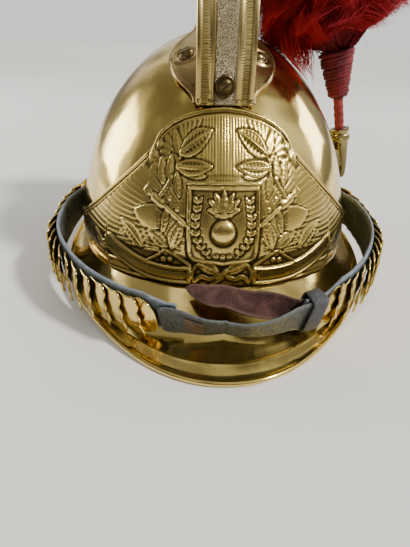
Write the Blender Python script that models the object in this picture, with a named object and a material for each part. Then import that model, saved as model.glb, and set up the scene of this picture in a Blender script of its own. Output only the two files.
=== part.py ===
"""Brass sapper helmet: shell, peak, neck guard, stamped front plate, crest, plume and scaled chin strap.

Metres, +Z up, the front towards -Y and the wearer's left towards +X. The origin is the middle of
the head opening, in the plane that the rim rests on.
"""
import math
import random

import bmesh
import bpy
from mathutils import Matrix, Vector

# Shell
SHELL_HALF_WIDTH = 0.096
SHELL_HALF_LENGTH = 0.113
SHELL_WALL = 0.0010
EQUATOR_HEIGHT = 0.022
DOME_HEIGHT = 0.128
DOME_POWER = 1.92
SHELL_STEPS = 36
DOME_ROWS = 10
DOME_INNER_ROWS = 5

# Rim: the line where the peak and the neck guard leave the shell, and their outer edge
BROW_HEIGHT = 0.0215
TEMPLE_HEIGHT = 0.0110
NAPE_HEIGHT = 0.0220
SIDE_LEDGE = 0.009
PEAK_REACH = 0.054
GUARD_REACH = 0.054
PEAK_TAPER = 0.058
RIM_POWER = 2.1
RIM_SIDE_RISE = 0.009
FLAT_SHARE = 0.30
RISE_POWER = 1.6
SHEET = 0.0012
BEAD_RADIUS = 0.0014
BORDER_STEP = 0.0009
PEAK_HOLLOW = 0.0030
GUARD_HOLLOW = 0.0060

# Clearances
GAP = 0.0003
SEAT_GAP = 0.0005

# Front plate; its relief is placed by shares of the plate's half span and of its height
PLATE_SPAN = math.radians(73.0)
PLATE_TOP_GAP = 0.0002
PLATE_SHEET = 0.0010
PLATE_ROWS = 6
RELIEF_SINK = 0.0006
NEARBY = 0.01
WELD_DISTANCE = 0.00003
RIDGE_WIDTH = 0.0022
RIDGE_HEIGHT = 0.0010
RIDGE_INSET = 0.024
LEAF_LENGTH = 0.026
LEAF_RELIEF = 0.0012
BANNER_WIDTH = 0.0085
SHIELD_RELIEF = 0.0014
BLADE_WIDTH = 0.013
BLADE_HEIGHT = 0.012
GRENADE_RADIUS = 0.0056
GRENADE_RELIEF = 0.0030
GRENADE_UP = 0.341
FLAME_UP = 0.500
FLAME_SPREAD = 0.060
FLAME_DROP = 0.030
FLAME_LENGTH = 0.0125
FLAME_WIDTH = 0.0036
FLAME_FAN = 0.55
KNOT_UP = 0.090
KNOT_SPREAD = 0.060
KNOT_LENGTH = 0.0155
KNOT_WIDTH = 0.0070
KNOT_TURN = 0.45
RAY_COUNT = 3
RAY_START = 0.56
RAY_END = 0.95
RAY_LOW_UP = 0.20
RAY_HIGH_UP = 0.50
RAY_TIP_LOW = 0.175
RAY_TIP_HIGH = 0.270
RAY_WIDTH = 0.0016
RAY_RELIEF = 0.0007
REED_COUNT = 3
REED_FOOT_SPAN = 0.060
REED_FOOT_UP = 0.640
REED_TOP_SPAN = 0.170
REED_TOP_UP = 0.930
REED_DROP = 0.040

# Crest
CREST_HALF_WIDTH = 0.0145
CREST_TAIL_HALF_WIDTH = 0.0080
CREST_TAPER_START = 0.30
CREST_HEIGHT = 0.050
CREST_WALL = 0.0012
CREST_FOOT_SHARE = 0.682
CREST_TAIL_SHARE = 0.850
BAND_SHEET = 0.0012
BAND_LIP = 0.0006
BAND_GAP = 0.0005
BAND_FOOT = 0.0056
SADDLE_SHEET = 0.0010
SADDLE_GAP = 0.0009
SADDLE_RIM = 0.0015
LOBE_REACH = 0.0135
LOBE_SCREW_ALONG = 0.162
FOOT_SCREW_ALONG = 0.25
SCREW_RADIUS = 0.0036
SCREW_RING_RADIUS = 0.0052
SCREW_HEIGHT = 0.0028
SCREW_SLOT = 0.0010

# Plume
SOCKET_ANGLE = math.radians(96.0)
SOCKET_HEIGHT = 0.050
SOCKET_LENGTH = 0.038
SOCKET_STAND_OFF = 0.0110
BRACKET_RISE = 0.010
BRACKET_HEIGHT = 0.012
BRACKET_WIDTH = 0.016
PLUME_LEAN = math.radians(12.5)
PLUME_BACK_LEAN = math.radians(1.0)
COLLAR_RADIUS = 0.0073
ROD_RADIUS = 0.0038
ROD_DEPTH = 0.012
ROD_LENGTH = 0.0215
BINDING_LENGTH = 0.0315
BINDING_FOOT_RADIUS = 0.0070
BINDING_TOP_RADIUS = 0.0123
BINDING_GROOVE = 0.0008
BINDING_TURNS = 9
PLUME_RADIUS = 0.0565
PLUME_HEIGHT = 0.160
PLUME_LOCKS = 17
PLUME_SEED = 7
PLUME_CLEARANCE = 0.0025

# Chin strap; distances run along the strap from the middle of the front
BOSS_ANGLE = math.radians(95.0)
BOSS_HEIGHT = 0.034
BOSS_RADIUS = 0.0115
BOSS_STEM_RADIUS = 0.0035
BOSS_CROWN = 0.0044
STRAP_THICKNESS = 0.0022
STRAP_WIDTH = 0.019
FRONT_SPAN = 0.050
STRAP_SECTIONS = 30
STRAP_START_RIGHT = 0.022
STRAP_START_LEFT = 0.0385
STRAP_CLEARANCE = 0.0025
SCALE_WIDTH = 0.0255
SCALE_SHEET = 0.0008
SCALE_OVERLAP = 0.0035
SCALE_LIFT = 0.22
SCALE_CROWN = 0.0012
SCALES_LEFT = 14
SCALES_RIGHT = 15
END_PLATE_LENGTH = 0.0140
END_PLATE_LIFT = 0.02
END_PLATE_LEFT = 0.0515
END_PLATE_RIGHT = 0.0310
TONGUE_THICKNESS = 0.0018
TAIL_THICKNESS = 0.0016
TAIL_WIDTH = 0.0145
KEEPER_START = 0.040
KEEPER_LENGTH = 0.010
KEEPER_WALL = 0.0014

COLOURS = {
    "brass": ((0.72, 0.52, 0.22, 1.0), 0.22, 1.0),
    "dark_brass": ((0.50, 0.36, 0.17, 1.0), 0.34, 1.0),
    "leather": ((0.10, 0.11, 0.12, 1.0), 0.72, 0.0),
    "brown_leather": ((0.20, 0.10, 0.07, 1.0), 0.80, 0.0),
    "red_cord": ((0.45, 0.05, 0.04, 1.0), 0.80, 0.0),
    "red_feather": ((0.55, 0.03, 0.04, 1.0), 0.85, 0.0),
}

# Columns of the front plate, as shares of its half span
PLATE_COLUMNS = (
    0.0, 0.09, 0.18, 0.27, 0.342, 0.374, 0.384, 0.459, 0.53, 0.60, 0.615, 0.70, 0.80, 0.90, 1.0,
)

# Outlines of the front plate: share of its half span, share of its height
PLATE_TOP_EDGE = (
    (0.00, 1.000), (0.12, 0.990), (0.233, 0.963), (0.342, 0.900), (0.374, 0.859), (0.384, 0.797),
    (0.459, 0.711), (0.575, 0.589), (0.712, 0.459), (0.88, 0.325), (1.00, 0.290),
)
PLATE_LOWER_EDGE = ((0.00, 0.000), (0.60, 0.000), (0.615, 0.100), (0.75, 0.130), (1.00, 0.140))

# Relief of the front plate, in the same shares
ARC_COLUMNS = (0.04, 0.12, 0.20, 0.28, 0.345)
WING_COLUMNS = (0.405, 0.49, 0.56, 0.66, 0.76, 0.86, 0.95)
SHIELD_SIDE = (
    (0.00, 0.602), (0.085, 0.600), (0.173, 0.594), (0.172, 0.430), (0.163, 0.260),
    (0.145, 0.200), (0.08, 0.185), (0.00, 0.155),
)
BANNER_PATH = (
    (0.158, 0.070), (0.260, 0.080), (0.360, 0.100), (0.470, 0.155), (0.575, 0.235),
)
AXE_PATH = ((0.375, 0.570), (0.285, 0.480), (0.190, 0.390))
AXE_BLADE = (0.345, 0.500)

# Leaves: share of the half span, share of the height, length and width as shares of the longest
# leaf, turn in degrees
LEAVES = (
    (0.165, 0.820, 0.94, 0.38, 145.0), (0.155, 0.690, 0.92, 0.34, 182.0),
    (0.135, 0.640, 0.55, 0.20, 200.0), (0.305, 0.680, 0.46, 0.20, 95.0),
    (0.250, 0.830, 0.62, 0.22, 120.0), (0.440, 0.295, 0.84, 0.34, 40.0),
    (0.300, 0.285, 0.58, 0.28, 35.0), (0.218, 0.345, 0.60, 0.26, 125.0),
)

# Cross-section of the crest's band: share of its half width, share of its sheet
BAND_PROFILE = (
    (-1.00, 1.5), (-0.90, 1.5), (-0.86, 1.0), (-0.46, 1.0), (-0.42, 1.6), (-0.38, 1.0),
    (0.38, 1.0), (0.42, 1.6), (0.46, 1.0), (0.86, 1.0), (0.90, 1.5), (1.00, 1.5),
)

# Sections of the crest and its saddle plate: share of the foot line, share of the foot line under
# the ridge, share of the height from the front foot to the top, share of the lobe's reach
CREST_STATIONS = (
    (0.000, -0.008, 0.070, 0.00), (0.015, -0.014, 0.240, 0.05), (0.035, -0.006, 0.410, 0.22),
    (0.060, 0.018, 0.580, 0.48), (0.090, 0.060, 0.720, 0.76), (0.130, 0.118, 0.825, 0.94),
    (0.175, 0.180, 0.900, 1.00), (0.220, 0.236, 0.950, 0.86), (0.260, 0.280, 0.975, 0.52),
    (0.300, 0.320, 0.990, 0.14), (0.340, 0.360, 0.998, 0.00), (0.420, 0.430, 1.000, 0.00),
    (0.510, 0.515, 0.982, 0.00), (0.600, 0.605, 0.930, 0.00), (0.690, 0.700, 0.850, 0.00),
    (0.780, 0.800, 0.725, 0.00), (0.870, 0.895, 0.530, 0.00), (0.940, 0.970, 0.290, 0.00),
    (1.000, 1.035, -0.140, 0.00),
)

# Outline of the plume socket from its tip: share of the collar's radius, share of its length
SOCKET_PROFILE = (
    (0.16, 0.00), (0.36, 0.05), (0.52, 0.20), (0.66, 0.42), (0.78, 0.64), (0.84, 0.74),
    (1.00, 0.78), (1.00, 0.86), (0.86, 0.90), (0.96, 0.94), (0.96, 1.00),
)

# Rings of the plume from its foot: share of its radius, share of its height, share of the height
# that the locks hang down, depth of the hollows between the locks
PLUME_RINGS = (
    (0.20, 0.000, 0.00, 0.00), (0.62, 0.045, 0.00, 0.04), (0.96, 0.060, 0.17, 0.10),
    (1.00, 0.200, 0.00, 0.06), (0.78, 0.420, 0.00, 0.04), (0.95, 0.400, 0.12, 0.09),
    (0.94, 0.520, 0.00, 0.06), (0.62, 0.700, 0.00, 0.04), (0.79, 0.690, 0.10, 0.09),
    (0.70, 0.830, 0.00, 0.05), (0.38, 0.950, 0.00, 0.03),
)

# Stations of the chin strap, from the middle of the front to the boss: angle round the shell in
# degrees, share of the peak's depth, reach beyond its edge as a share of the scale width, climb
# towards the boss and outward lean in degrees
STRAP_STATIONS = (
    (0.0, 0.44, 0.00, 0.00, 18.0),
    (12.0, 0.54, 0.00, 0.00, 17.0),
    (23.0, 0.63, 0.00, 0.00, 14.0),
    (35.5, 0.76, 0.00, 0.00, 8.0),
    (46.0, 0.91, 0.00, 0.00, 3.0),
    (54.0, 1.00, 0.02, 0.00, 1.0),
    (61.0, 1.00, 0.10, 0.00, 0.0),
    (67.5, 1.00, 0.14, 0.06, 0.0),
    (73.0, 1.00, 0.10, 0.25, 0.0),
    (78.5, 0.96, 0.00, 0.52, -1.0),
    (84.0, 0.68, 0.00, 0.72, -2.0),
    (89.0, 0.36, 0.00, 0.90, -3.0),
    (95.0, 0.20, 0.00, 1.00, -3.0),
)

# Free edge of a scale: share of its width, share of its length, shift of the tip across it
SCALE_OUTLINE = (
    (0.00, 0.86, -0.04), (0.17, 1.04, -0.03), (0.34, 0.84, 0.00), (0.50, 1.00, 0.00),
    (0.66, 0.84, 0.00), (0.83, 1.00, 0.02), (1.00, 0.80, 0.01),
)
END_PLATE_OUTLINE = (
    (0.02, 0.40, 0.00), (0.10, 0.72, 0.00), (0.26, 0.94, 0.00), (0.50, 1.00, 0.00),
    (0.74, 0.94, 0.00), (0.90, 0.72, 0.00), (0.98, 0.40, 0.00),
)

# Ribbons of the front: distance along the strap towards the wearer's left as a share of the front
# span, outward shift and rise as shares of the strap's width, extra lean in degrees, share of
# the ribbon's width
TONGUE_ROWS = (
    (-0.60, 0.142, 0.17, 0.0, 0.86), (-0.54, 0.142, 0.17, 0.0, 1.00),
    (-0.40, 0.150, 0.16, 3.0, 1.00), (-0.20, 0.210, 0.07, 13.0, 1.00),
    (0.00, 0.240, 0.05, 19.0, 1.00), (0.24, 0.240, 0.06, 18.0, 1.00),
    (0.46, 0.190, 0.12, 10.0, 1.00), (0.64, 0.148, 0.17, 2.0, 1.00),
    (0.78, 0.142, 0.17, 0.0, 1.00), (0.93, 0.142, 0.17, 0.0, 1.00),
)
TAIL_ROWS = (
    (-0.40, -0.79, 0.39, -76.0, 0.05), (-0.28, -0.63, 0.43, -79.0, 0.58),
    (-0.12, -0.37, 0.48, -81.0, 0.92), (0.10, -0.16, 0.51, -82.0, 1.00),
    (0.32, -0.08, 0.48, -66.0, 1.00), (0.52, -0.085, 0.39, -36.0, 1.00),
    (0.68, -0.116, 0.31, -10.0, 1.00), (0.80, -0.126, 0.29, 0.0, 1.00),
    (1.01, -0.126, 0.29, 0.0, 1.00),
)


def clear_scene():
    """Remove whatever the file opened with."""
    for thing in list(bpy.data.objects):
        bpy.data.objects.remove(thing)


def finish(name, shape):
    """Turn a bmesh into a smooth-shaded object with its finish."""
    solid, colour = shape
    bmesh.ops.remove_doubles(solid, verts=solid.verts, dist=1e-6)
    bmesh.ops.recalc_face_normals(solid, faces=solid.faces)
    mesh = bpy.data.meshes.new(name)
    solid.to_mesh(mesh)
    solid.free()
    mesh.shade_smooth()
    mesh.set_sharp_from_angle(angle=math.radians(35))
    mesh.materials.append(make_material(colour))
    thing = bpy.data.objects.new(name, mesh)
    bpy.context.scene.collection.objects.link(thing)
    return thing


def make_material(name):
    """Principled material of one of the named finishes."""
    if name in bpy.data.materials:
        return bpy.data.materials[name]
    colour, roughness, metallic = COLOURS[name]
    material = bpy.data.materials.new(name)
    material.use_nodes = True
    shader = material.node_tree.nodes["Principled BSDF"]
    shader.inputs["Base Color"].default_value = colour
    shader.inputs["Roughness"].default_value = roughness
    shader.inputs["Metallic"].default_value = metallic
    return material


def signed_power(value, exponent):
    """Power that keeps the sign, for superelliptic curves."""
    return math.copysign(abs(value) ** exponent, value)


def spread(start, stop, count):
    """Evenly spaced numbers, both ends included."""
    return [start + (stop - start) * i / (count - 1) for i in range(count)]


def read_table(table, key, column=1):
    """Straight-line reading of a table whose first column rises."""
    key = min(max(key, table[0][0]), table[-1][0])
    for low, high in zip(table, table[1:]):
        if key <= high[0]:
            share = (key - low[0]) / (high[0] - low[0])
            return low[column] + (high[column] - low[column]) * share
    return table[-1][column]


def smooth_table(table, steps):
    """Catmull-Rom rows through a table, with a number of steps between two of its rows."""
    rows = []
    for i in range(len(table) - 1):
        around = [table[max(i - 1, 0)], table[i], table[i + 1], table[min(i + 2, len(table) - 1)]]
        for step in range(steps):
            t = step / steps
            rows.append(tuple(
                0.5 * (2 * b + (c - a) * t + (2 * a - 5 * b + 4 * c - d) * t * t
                       + (3 * b - a - 3 * c + d) * t ** 3)
                for a, b, c, d in zip(*around)))
    rows.append(table[-1])
    return rows


def add_grid(solid, rows, wrap=False):
    """Faces over rows of points; returns the rows of vertices."""
    made = [[solid.verts.new(point) for point in row] for row in rows]
    for low, high in zip(made, made[1:]):
        count = len(low) if wrap else len(low) - 1
        for i in range(count):
            j = (i + 1) % len(low)
            solid.faces.new((low[i], low[j], high[j], high[i]))
    return made


def stitch(solid, first, second, wrap=False):
    """Faces between two equal rows of vertices."""
    count = len(first) if wrap else len(first) - 1
    for i in range(count):
        j = (i + 1) % len(first)
        solid.faces.new((first[i], second[i], second[j], first[j]))


def walled(outer, inner):
    """Closed plate between two grids of points of the same size."""
    solid = bmesh.new()
    front = add_grid(solid, outer)
    back = add_grid(solid, inner)
    stitch(solid, front[0], back[0])
    stitch(solid, front[-1], back[-1])
    stitch(solid, [row[0] for row in front], [row[0] for row in back])
    stitch(solid, [row[-1] for row in front], [row[-1] for row in back])
    return solid


def loft(sections):
    """Closed bar through rings of points, capped at both ends."""
    solid = bmesh.new()
    rings = add_grid(solid, sections, wrap=True)
    solid.faces.new(rings[0])
    solid.faces.new(rings[-1])
    return solid


def turned(profile, sides, place):
    """Turn (radius, height) pairs round Z, close them on the axis and put the result in place."""
    solid = bmesh.new()
    rings = []
    for radius, height in profile:
        if radius == 0:
            rings.append([solid.verts.new((0, 0, height))])
            continue
        rings.append([
            solid.verts.new((radius * math.cos(2 * math.pi * i / sides),
                             radius * math.sin(2 * math.pi * i / sides), height))
            for i in range(sides)])
    for low, high in zip(rings, rings[1:]):
        for i in range(sides):
            j = (i + 1) % sides
            corners = [low[i % len(low)], low[j % len(low)], high[j % len(high)], high[i % len(high)]]
            solid.faces.new(list(dict.fromkeys(corners)))
    bmesh.ops.transform(solid, matrix=place, verts=solid.verts)
    return solid


def frame_along(origin, axis, side_hint):
    """Matrix whose Z is an axis and whose X lies near a hint."""
    up = axis.normalized()
    across = (side_hint - up * side_hint.dot(up)).normalized()
    third = up.cross(across)
    return Matrix((
        (across.x, third.x, up.x, origin.x),
        (across.y, third.y, up.y, origin.y),
        (across.z, third.z, up.z, origin.z),
        (0, 0, 0, 1)))


def dome_point(angle, rise, offset=0.0):
    """Point of the dome at an angle round the shell, 0 in front, and a rise of 0 to 90 degrees."""
    radius = max(math.cos(rise), 0.0) ** (2 / DOME_POWER)
    height = math.sin(rise) ** (2 / DOME_POWER)
    return Vector((
        (SHELL_HALF_WIDTH + offset) * radius * math.sin(angle),
        -(SHELL_HALF_LENGTH + offset) * radius * math.cos(angle),
        EQUATOR_HEIGHT + (DOME_HEIGHT + offset) * height))


def wall_point(angle, height, offset=0.0):
    """Point of the shell at an angle and a height; below the equator the wall is upright."""
    share = min(max((height - EQUATOR_HEIGHT) / (DOME_HEIGHT + offset), 0.0), 1.0)
    radius = (1 - share ** DOME_POWER) ** (1 / DOME_POWER)
    return Vector((
        (SHELL_HALF_WIDTH + offset) * radius * math.sin(angle),
        -(SHELL_HALF_LENGTH + offset) * radius * math.cos(angle),
        height))


def dome_over(x, y, offset=0.0):
    """Point of the dome over a place in plan."""
    plan = min(math.hypot(x / (SHELL_HALF_WIDTH + offset), y / (SHELL_HALF_LENGTH + offset)), 1.0)
    height = (1 - plan ** DOME_POWER) ** (1 / DOME_POWER)
    return Vector((x, y, EQUATOR_HEIGHT + (DOME_HEIGHT + offset) * height))


def wall_normal(point):
    """Outward direction of the shell at a point on or near it."""
    x = point.x / SHELL_HALF_WIDTH
    y = point.y / SHELL_HALF_LENGTH
    z = max(point.z - EQUATOR_HEIGHT, 0.0) / DOME_HEIGHT
    plan = max(math.hypot(x, y), 1e-6) ** (DOME_POWER - 2)
    rise = max(z, 1e-6) ** (DOME_POWER - 1)
    return Vector((
        plan * x / SHELL_HALF_WIDTH, plan * y / SHELL_HALF_LENGTH, rise / DOME_HEIGHT)).normalized()


def junction_height(angle):
    """Height of the line where the peak or the neck guard leaves the shell."""
    end = BROW_HEIGHT if math.cos(angle) > 0 else NAPE_HEIGHT
    return TEMPLE_HEIGHT + (end - TEMPLE_HEIGHT) * math.cos(angle) ** 2


def rim_root(angle):
    """Inner edge of the peak or the neck guard, against the shell."""
    return wall_point(angle, junction_height(angle), GAP)


def rim_edge(angle):
    """Outer edge of the peak or the neck guard, flat on the ground in front and behind."""
    front = math.cos(angle) > 0
    reach, taper = (PEAK_REACH, PEAK_TAPER) if front else (GUARD_REACH, 0.0)
    size = 1 - taper * (math.sin(2 * angle) * math.cos(angle)) ** 2
    side = max(abs(math.sin(angle)) - FLAT_SHARE, 0.0) / (1 - FLAT_SHARE)
    return Vector((
        size * (SHELL_HALF_WIDTH + SIDE_LEDGE) * signed_power(math.sin(angle), 2 / RIM_POWER),
        -size * (SHELL_HALF_LENGTH + reach) * signed_power(math.cos(angle), 2 / RIM_POWER),
        RIM_SIDE_RISE * side ** RISE_POWER))


def rim_point(angle, depth):
    """Underside of the peak or the neck guard at a share of its depth, a little hollow between."""
    root = rim_root(angle)
    edge = rim_edge(angle)
    front = math.cos(angle) > 0
    hollow, reach = (PEAK_HOLLOW, PEAK_REACH) if front else (GUARD_HOLLOW, GUARD_REACH)
    width = (edge - root).xy.length
    drop = hollow * math.sin(math.pi * min(depth, 1.0)) * min(width / reach, 1.0)
    return root + (edge - root) * depth - Vector((0, 0, drop))


def rim_section(angle, top, under):
    """Ring of points across the rim's sheet, with the rolled bead at its edge."""
    edge = rim_edge(angle)
    outward = (edge - rim_root(angle)) * Vector((1, 1, 0))
    outward.normalize()
    eighth = math.pi / 8
    centre = edge + Vector((0, 0, BEAD_RADIUS * math.cos(eighth)))
    ring = [
        rim_point(angle, depth) + Vector((0, 0, SHEET + lift * BORDER_STEP)) for depth, lift in top]
    for turn in (5, 3, 1, -1, -3, -5):
        ring.append(centre + outward * BEAD_RADIUS * math.cos(turn * eighth)
                    + Vector((0, 0, BEAD_RADIUS * math.sin(turn * eighth))))
    ring += [rim_point(angle, depth) for depth in under]
    return ring


def make_shell():
    """Dome of one sheet, open below, with an upright skirt down to the rim."""
    solid = bmesh.new()
    angles = [2 * math.pi * i / SHELL_STEPS for i in range(SHELL_STEPS)]
    skins = []
    for offset, rows in ((0.0, DOME_ROWS), (-SHELL_WALL, DOME_INNER_ROWS)):
        rings = [[wall_point(a, junction_height(a) - SHEET, offset) for a in angles]]
        rings += [[dome_point(a, rise, offset) for a in angles]
                  for rise in spread(0.0, math.pi / 2, rows + 1)[:-1]]
        skin = add_grid(solid, rings, wrap=True)
        pole = solid.verts.new(dome_point(0.0, math.pi / 2, offset))
        for i in range(SHELL_STEPS):
            solid.faces.new((skin[-1][i], skin[-1][(i + 1) % SHELL_STEPS], pole))
        skins.append(skin)
    stitch(solid, skins[0][0], skins[1][0], wrap=True)
    finish("shell", (solid, "brass"))


def make_rim():
    """Peak in front and neck guard behind, which meet at the temples."""
    step = 2 * math.pi / SHELL_STEPS
    quarter = SHELL_STEPS // 4
    inset = 0.5 * GAP / (SHELL_HALF_WIDTH + SIDE_LEDGE)
    angles = [step * i for i in range(-quarter, quarter + 1)]
    angles[0] += inset
    angles[-1] -= inset
    top = ((0.0, 0.0), (0.28, 0.0), (0.54, 0.0), (0.78, 0.0), (0.80, 1.0), (0.83, 0.3), (0.95, 0.2))
    under = (0.94, 0.78, 0.54, 0.28, 0.0)
    finish("peak", (loft([rim_section(a, top, under) for a in angles]), "brass"))
    top = ((0.0, 0.0), (0.22, 0.0), (0.48, 0.0), (0.74, 0.0), (0.95, 0.0))
    under = (0.94, 0.74, 0.48, 0.22, 0.0)
    finish("neck_guard", (loft([rim_section(a + math.pi, top, under) for a in angles]), "brass"))


def plate_height():
    """Height of the front plate, from the peak to just under the crest's foot."""
    foot = junction_height(0.0) + SHEET + SEAT_GAP
    return dome_over(0.0, saddle_y(0.0)).z - foot - PLATE_TOP_GAP


def plate_point(across, up, offset):
    """Point over the front plate: shares of its half span and of its height, off the shell."""
    angle = across * PLATE_SPAN
    foot = junction_height(angle) + SHEET + SEAT_GAP
    return wall_point(angle, foot + up * plate_height(), offset)


def plate_frame(across, up):
    """Point on the plate's face with its sideways, upward and outward directions."""
    centre = plate_point(across, up, SEAT_GAP + PLATE_SHEET)
    outward = wall_normal(centre)
    sideways = Vector((0, 0, 1)).cross(outward).normalized()
    return centre, sideways, outward.cross(sideways), outward


def add_ridge(solid, path, width, height, closed=False):
    """Raised bar with a narrower top, along shares across and up the plate."""
    half = width / 2
    last = len(path) - 1
    rings = []
    for i, (across, up) in enumerate(path):
        centre, sideways, upward, outward = plate_frame(across, up)
        after = plate_frame(*path[(i + 1) % len(path) if closed else min(i + 1, last)])[0]
        before = plate_frame(*path[i - 1 if closed else max(i - 1, 0)])[0]
        side = outward.cross(after - before).normalized()
        low = centre - outward * RELIEF_SINK
        high = centre + outward * height
        rings.append([low - side * half, low + side * half, high + side * half * 0.4,
                      high - side * half * 0.4])
    made = add_grid(solid, rings, wrap=True)
    if closed:
        stitch(solid, made[-1], made[0], wrap=True)
    else:
        solid.faces.new(made[0])
        solid.faces.new(made[-1])


def add_lump(solid, across, up, outline, crown, height):
    """Convex raised form: an outline sunk in the plate and a crown of points above it."""
    face = SEAT_GAP + PLATE_SHEET
    centre, sideways, upward, outward = plate_frame(across, up)
    reach = (plate_point(across + NEARBY, up, face) - centre).length / NEARBY
    climb = (plate_point(across, up + NEARBY, face) - centre).length / NEARBY
    verts = [
        solid.verts.new(plate_point(across + x / reach, up + y / climb, face - RELIEF_SINK))
        for x, y in outline]
    verts += [
        solid.verts.new(plate_point(across + x / reach, up + y / climb, face + height * rise))
        for x, y, rise in crown]
    hull = bmesh.ops.convex_hull(solid, input=verts, use_existing_faces=False)
    spare = [item for item in hull["geom_interior"] if isinstance(item, bmesh.types.BMVert)]
    bmesh.ops.delete(solid, geom=spare, context="VERTS")


def add_leaf(solid, across, up, length, width, turn, height):
    """Pointed leaf with a raised midrib."""
    cosine = math.cos(turn)
    sine = math.sin(turn)

    def place(along, aside):
        return (along * length * cosine - aside * width * sine,
                along * length * sine + aside * width * cosine)

    outline = [place(*p) for p in (
        (-0.5, 0), (-0.2, 0.45), (0.2, 0.4), (0.5, 0), (0.2, -0.4), (-0.2, -0.45))]
    crown = [place(along, 0) + (rise,) for along, rise in ((-0.42, 0.3), (-0.1, 1.0), (0.3, 0.8))]
    add_lump(solid, across, up, outline, crown, height)


def add_round(solid, across, up, radius, height, sides):
    """Round boss, such as a grenade's ball."""
    outline = []
    crown = [(0.0, 0.0, 1.0)]
    for i in range(sides):
        angle = 2 * math.pi * i / sides
        outline.append((radius * math.cos(angle), radius * math.sin(angle)))
        crown.append((0.92 * radius * math.cos(angle), 0.92 * radius * math.sin(angle), 0.45))
        crown.append((0.60 * radius * math.cos(angle), 0.60 * radius * math.sin(angle), 0.85))
    add_lump(solid, across, up, outline, crown, height)


def add_blade(solid, side):
    """Fan-shaped axe blade at the head of its shaft."""
    outline = [(side * BLADE_WIDTH * x, BLADE_HEIGHT * y)
               for x, y in ((-0.5, 0.2), (-0.5, -0.1), (0.1, -0.5), (0.5, -0.3), (0.5, 0.4), (0.1, 0.5))]
    crown = [(0.85 * x, 0.85 * y, 1.0) for x, y in outline]
    add_lump(solid, side * AXE_BLADE[0], AXE_BLADE[1], outline, crown, LEAF_RELIEF)


def plate_relief():
    """Shield, grenade, leaves, axes, banners, rays and borders of the front plate."""
    solid = bmesh.new()
    for side in (-1, 1):
        wing = [(side * a, read_table(PLATE_TOP_EDGE, a) - RIDGE_INSET) for a in WING_COLUMNS]
        add_ridge(solid, wing, RIDGE_WIDTH, RIDGE_HEIGHT)
        for across, up, length, width, turn in LEAVES:
            angle = math.radians(turn if side > 0 else 180.0 - turn)
            add_leaf(solid, side * across, up, LEAF_LENGTH * length, LEAF_LENGTH * width, angle,
                     LEAF_RELIEF)
        add_ridge(solid, [(side * a, u) for a, u in BANNER_PATH], BANNER_WIDTH, RIDGE_HEIGHT)
        add_ridge(solid, [(side * a, u) for a, u in AXE_PATH], RIDGE_WIDTH, RIDGE_HEIGHT)
        add_blade(solid, side)
        for i in range(RAY_COUNT):
            share = i / (RAY_COUNT - 1)
            add_ridge(solid, [
                (side * (RAY_START + (RAY_END - RAY_START) * along),
                 (RAY_LOW_UP + (RAY_HIGH_UP - RAY_LOW_UP) * share) * (1 - along)
                 + (RAY_TIP_LOW + (RAY_TIP_HIGH - RAY_TIP_LOW) * share) * along)
                for along in (0.0, 0.5, 1.0)], RAY_WIDTH, RAY_RELIEF)
    for i in range(REED_COUNT):
        share = 2 * i / (REED_COUNT - 1) - 1
        add_ridge(solid, [(share * REED_FOOT_SPAN, REED_FOOT_UP),
                          (share * (REED_FOOT_SPAN + REED_TOP_SPAN) / 2,
                           (REED_FOOT_UP + REED_TOP_UP) / 2),
                          (share * REED_TOP_SPAN, REED_TOP_UP - REED_DROP * share * share)],
                  RAY_WIDTH, RAY_RELIEF)
    arc = [-a for a in ARC_COLUMNS[::-1]] + list(ARC_COLUMNS)
    add_ridge(solid, [(a, read_table(PLATE_TOP_EDGE, abs(a)) - RIDGE_INSET) for a in arc],
              RIDGE_WIDTH, RIDGE_HEIGHT)
    outline = list(SHIELD_SIDE) + [(-a, u) for a, u in SHIELD_SIDE[-2:0:-1]]
    add_ridge(solid, outline, RIDGE_WIDTH, SHIELD_RELIEF, closed=True)
    add_round(solid, 0.0, GRENADE_UP, GRENADE_RADIUS, GRENADE_RELIEF, 8)
    for share in (-1, 0, 1):
        add_leaf(solid, share * FLAME_SPREAD, FLAME_UP - FLAME_DROP * abs(share), FLAME_LENGTH,
                 FLAME_WIDTH, math.pi / 2 - share * FLAME_FAN, LEAF_RELIEF)
    for share in (-1, 1):
        add_leaf(solid, share * KNOT_SPREAD, KNOT_UP, KNOT_LENGTH, KNOT_WIDTH, share * KNOT_TURN,
                 LEAF_RELIEF)
    return solid


def make_front_plate():
    """Stamped plate that follows the shell, with its raised ornament fused on."""
    columns = [-a for a in PLATE_COLUMNS[:0:-1]] + list(PLATE_COLUMNS)
    skins = []
    for offset in (SEAT_GAP + PLATE_SHEET, SEAT_GAP):
        rows = []
        for share in spread(0.0, 1.0, PLATE_ROWS + 1):
            rows.append([
                plate_point(a, read_table(PLATE_LOWER_EDGE, abs(a)) * (1 - share)
                            + read_table(PLATE_TOP_EDGE, abs(a)) * share, offset)
                for a in columns])
        skins.append(rows)
    plate = finish("front_plate", (walled(*skins), "brass"))
    relief = finish("plate_relief", (plate_relief(), "brass"))
    add_boolean(plate, relief, "UNION")
    weld = plate.modifiers.new("weld", "WELD")
    weld.merge_threshold = WELD_DISTANCE


def add_boolean(thing, tool, operation):
    """Exact Boolean with a tool that stays hidden."""
    tool.hide_render = True
    tool.display_type = "WIRE"
    cut = thing.modifiers.new(tool.name, "BOOLEAN")
    cut.operation = operation
    cut.solver = "EXACT"
    cut.use_self = True
    cut.object = tool


def saddle_y(share):
    """Place along the crest's foot line, from the front foot to the tail."""
    front = -SHELL_HALF_LENGTH * CREST_FOOT_SHARE
    return front + (SHELL_HALF_LENGTH * CREST_TAIL_SHARE - front) * share


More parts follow.
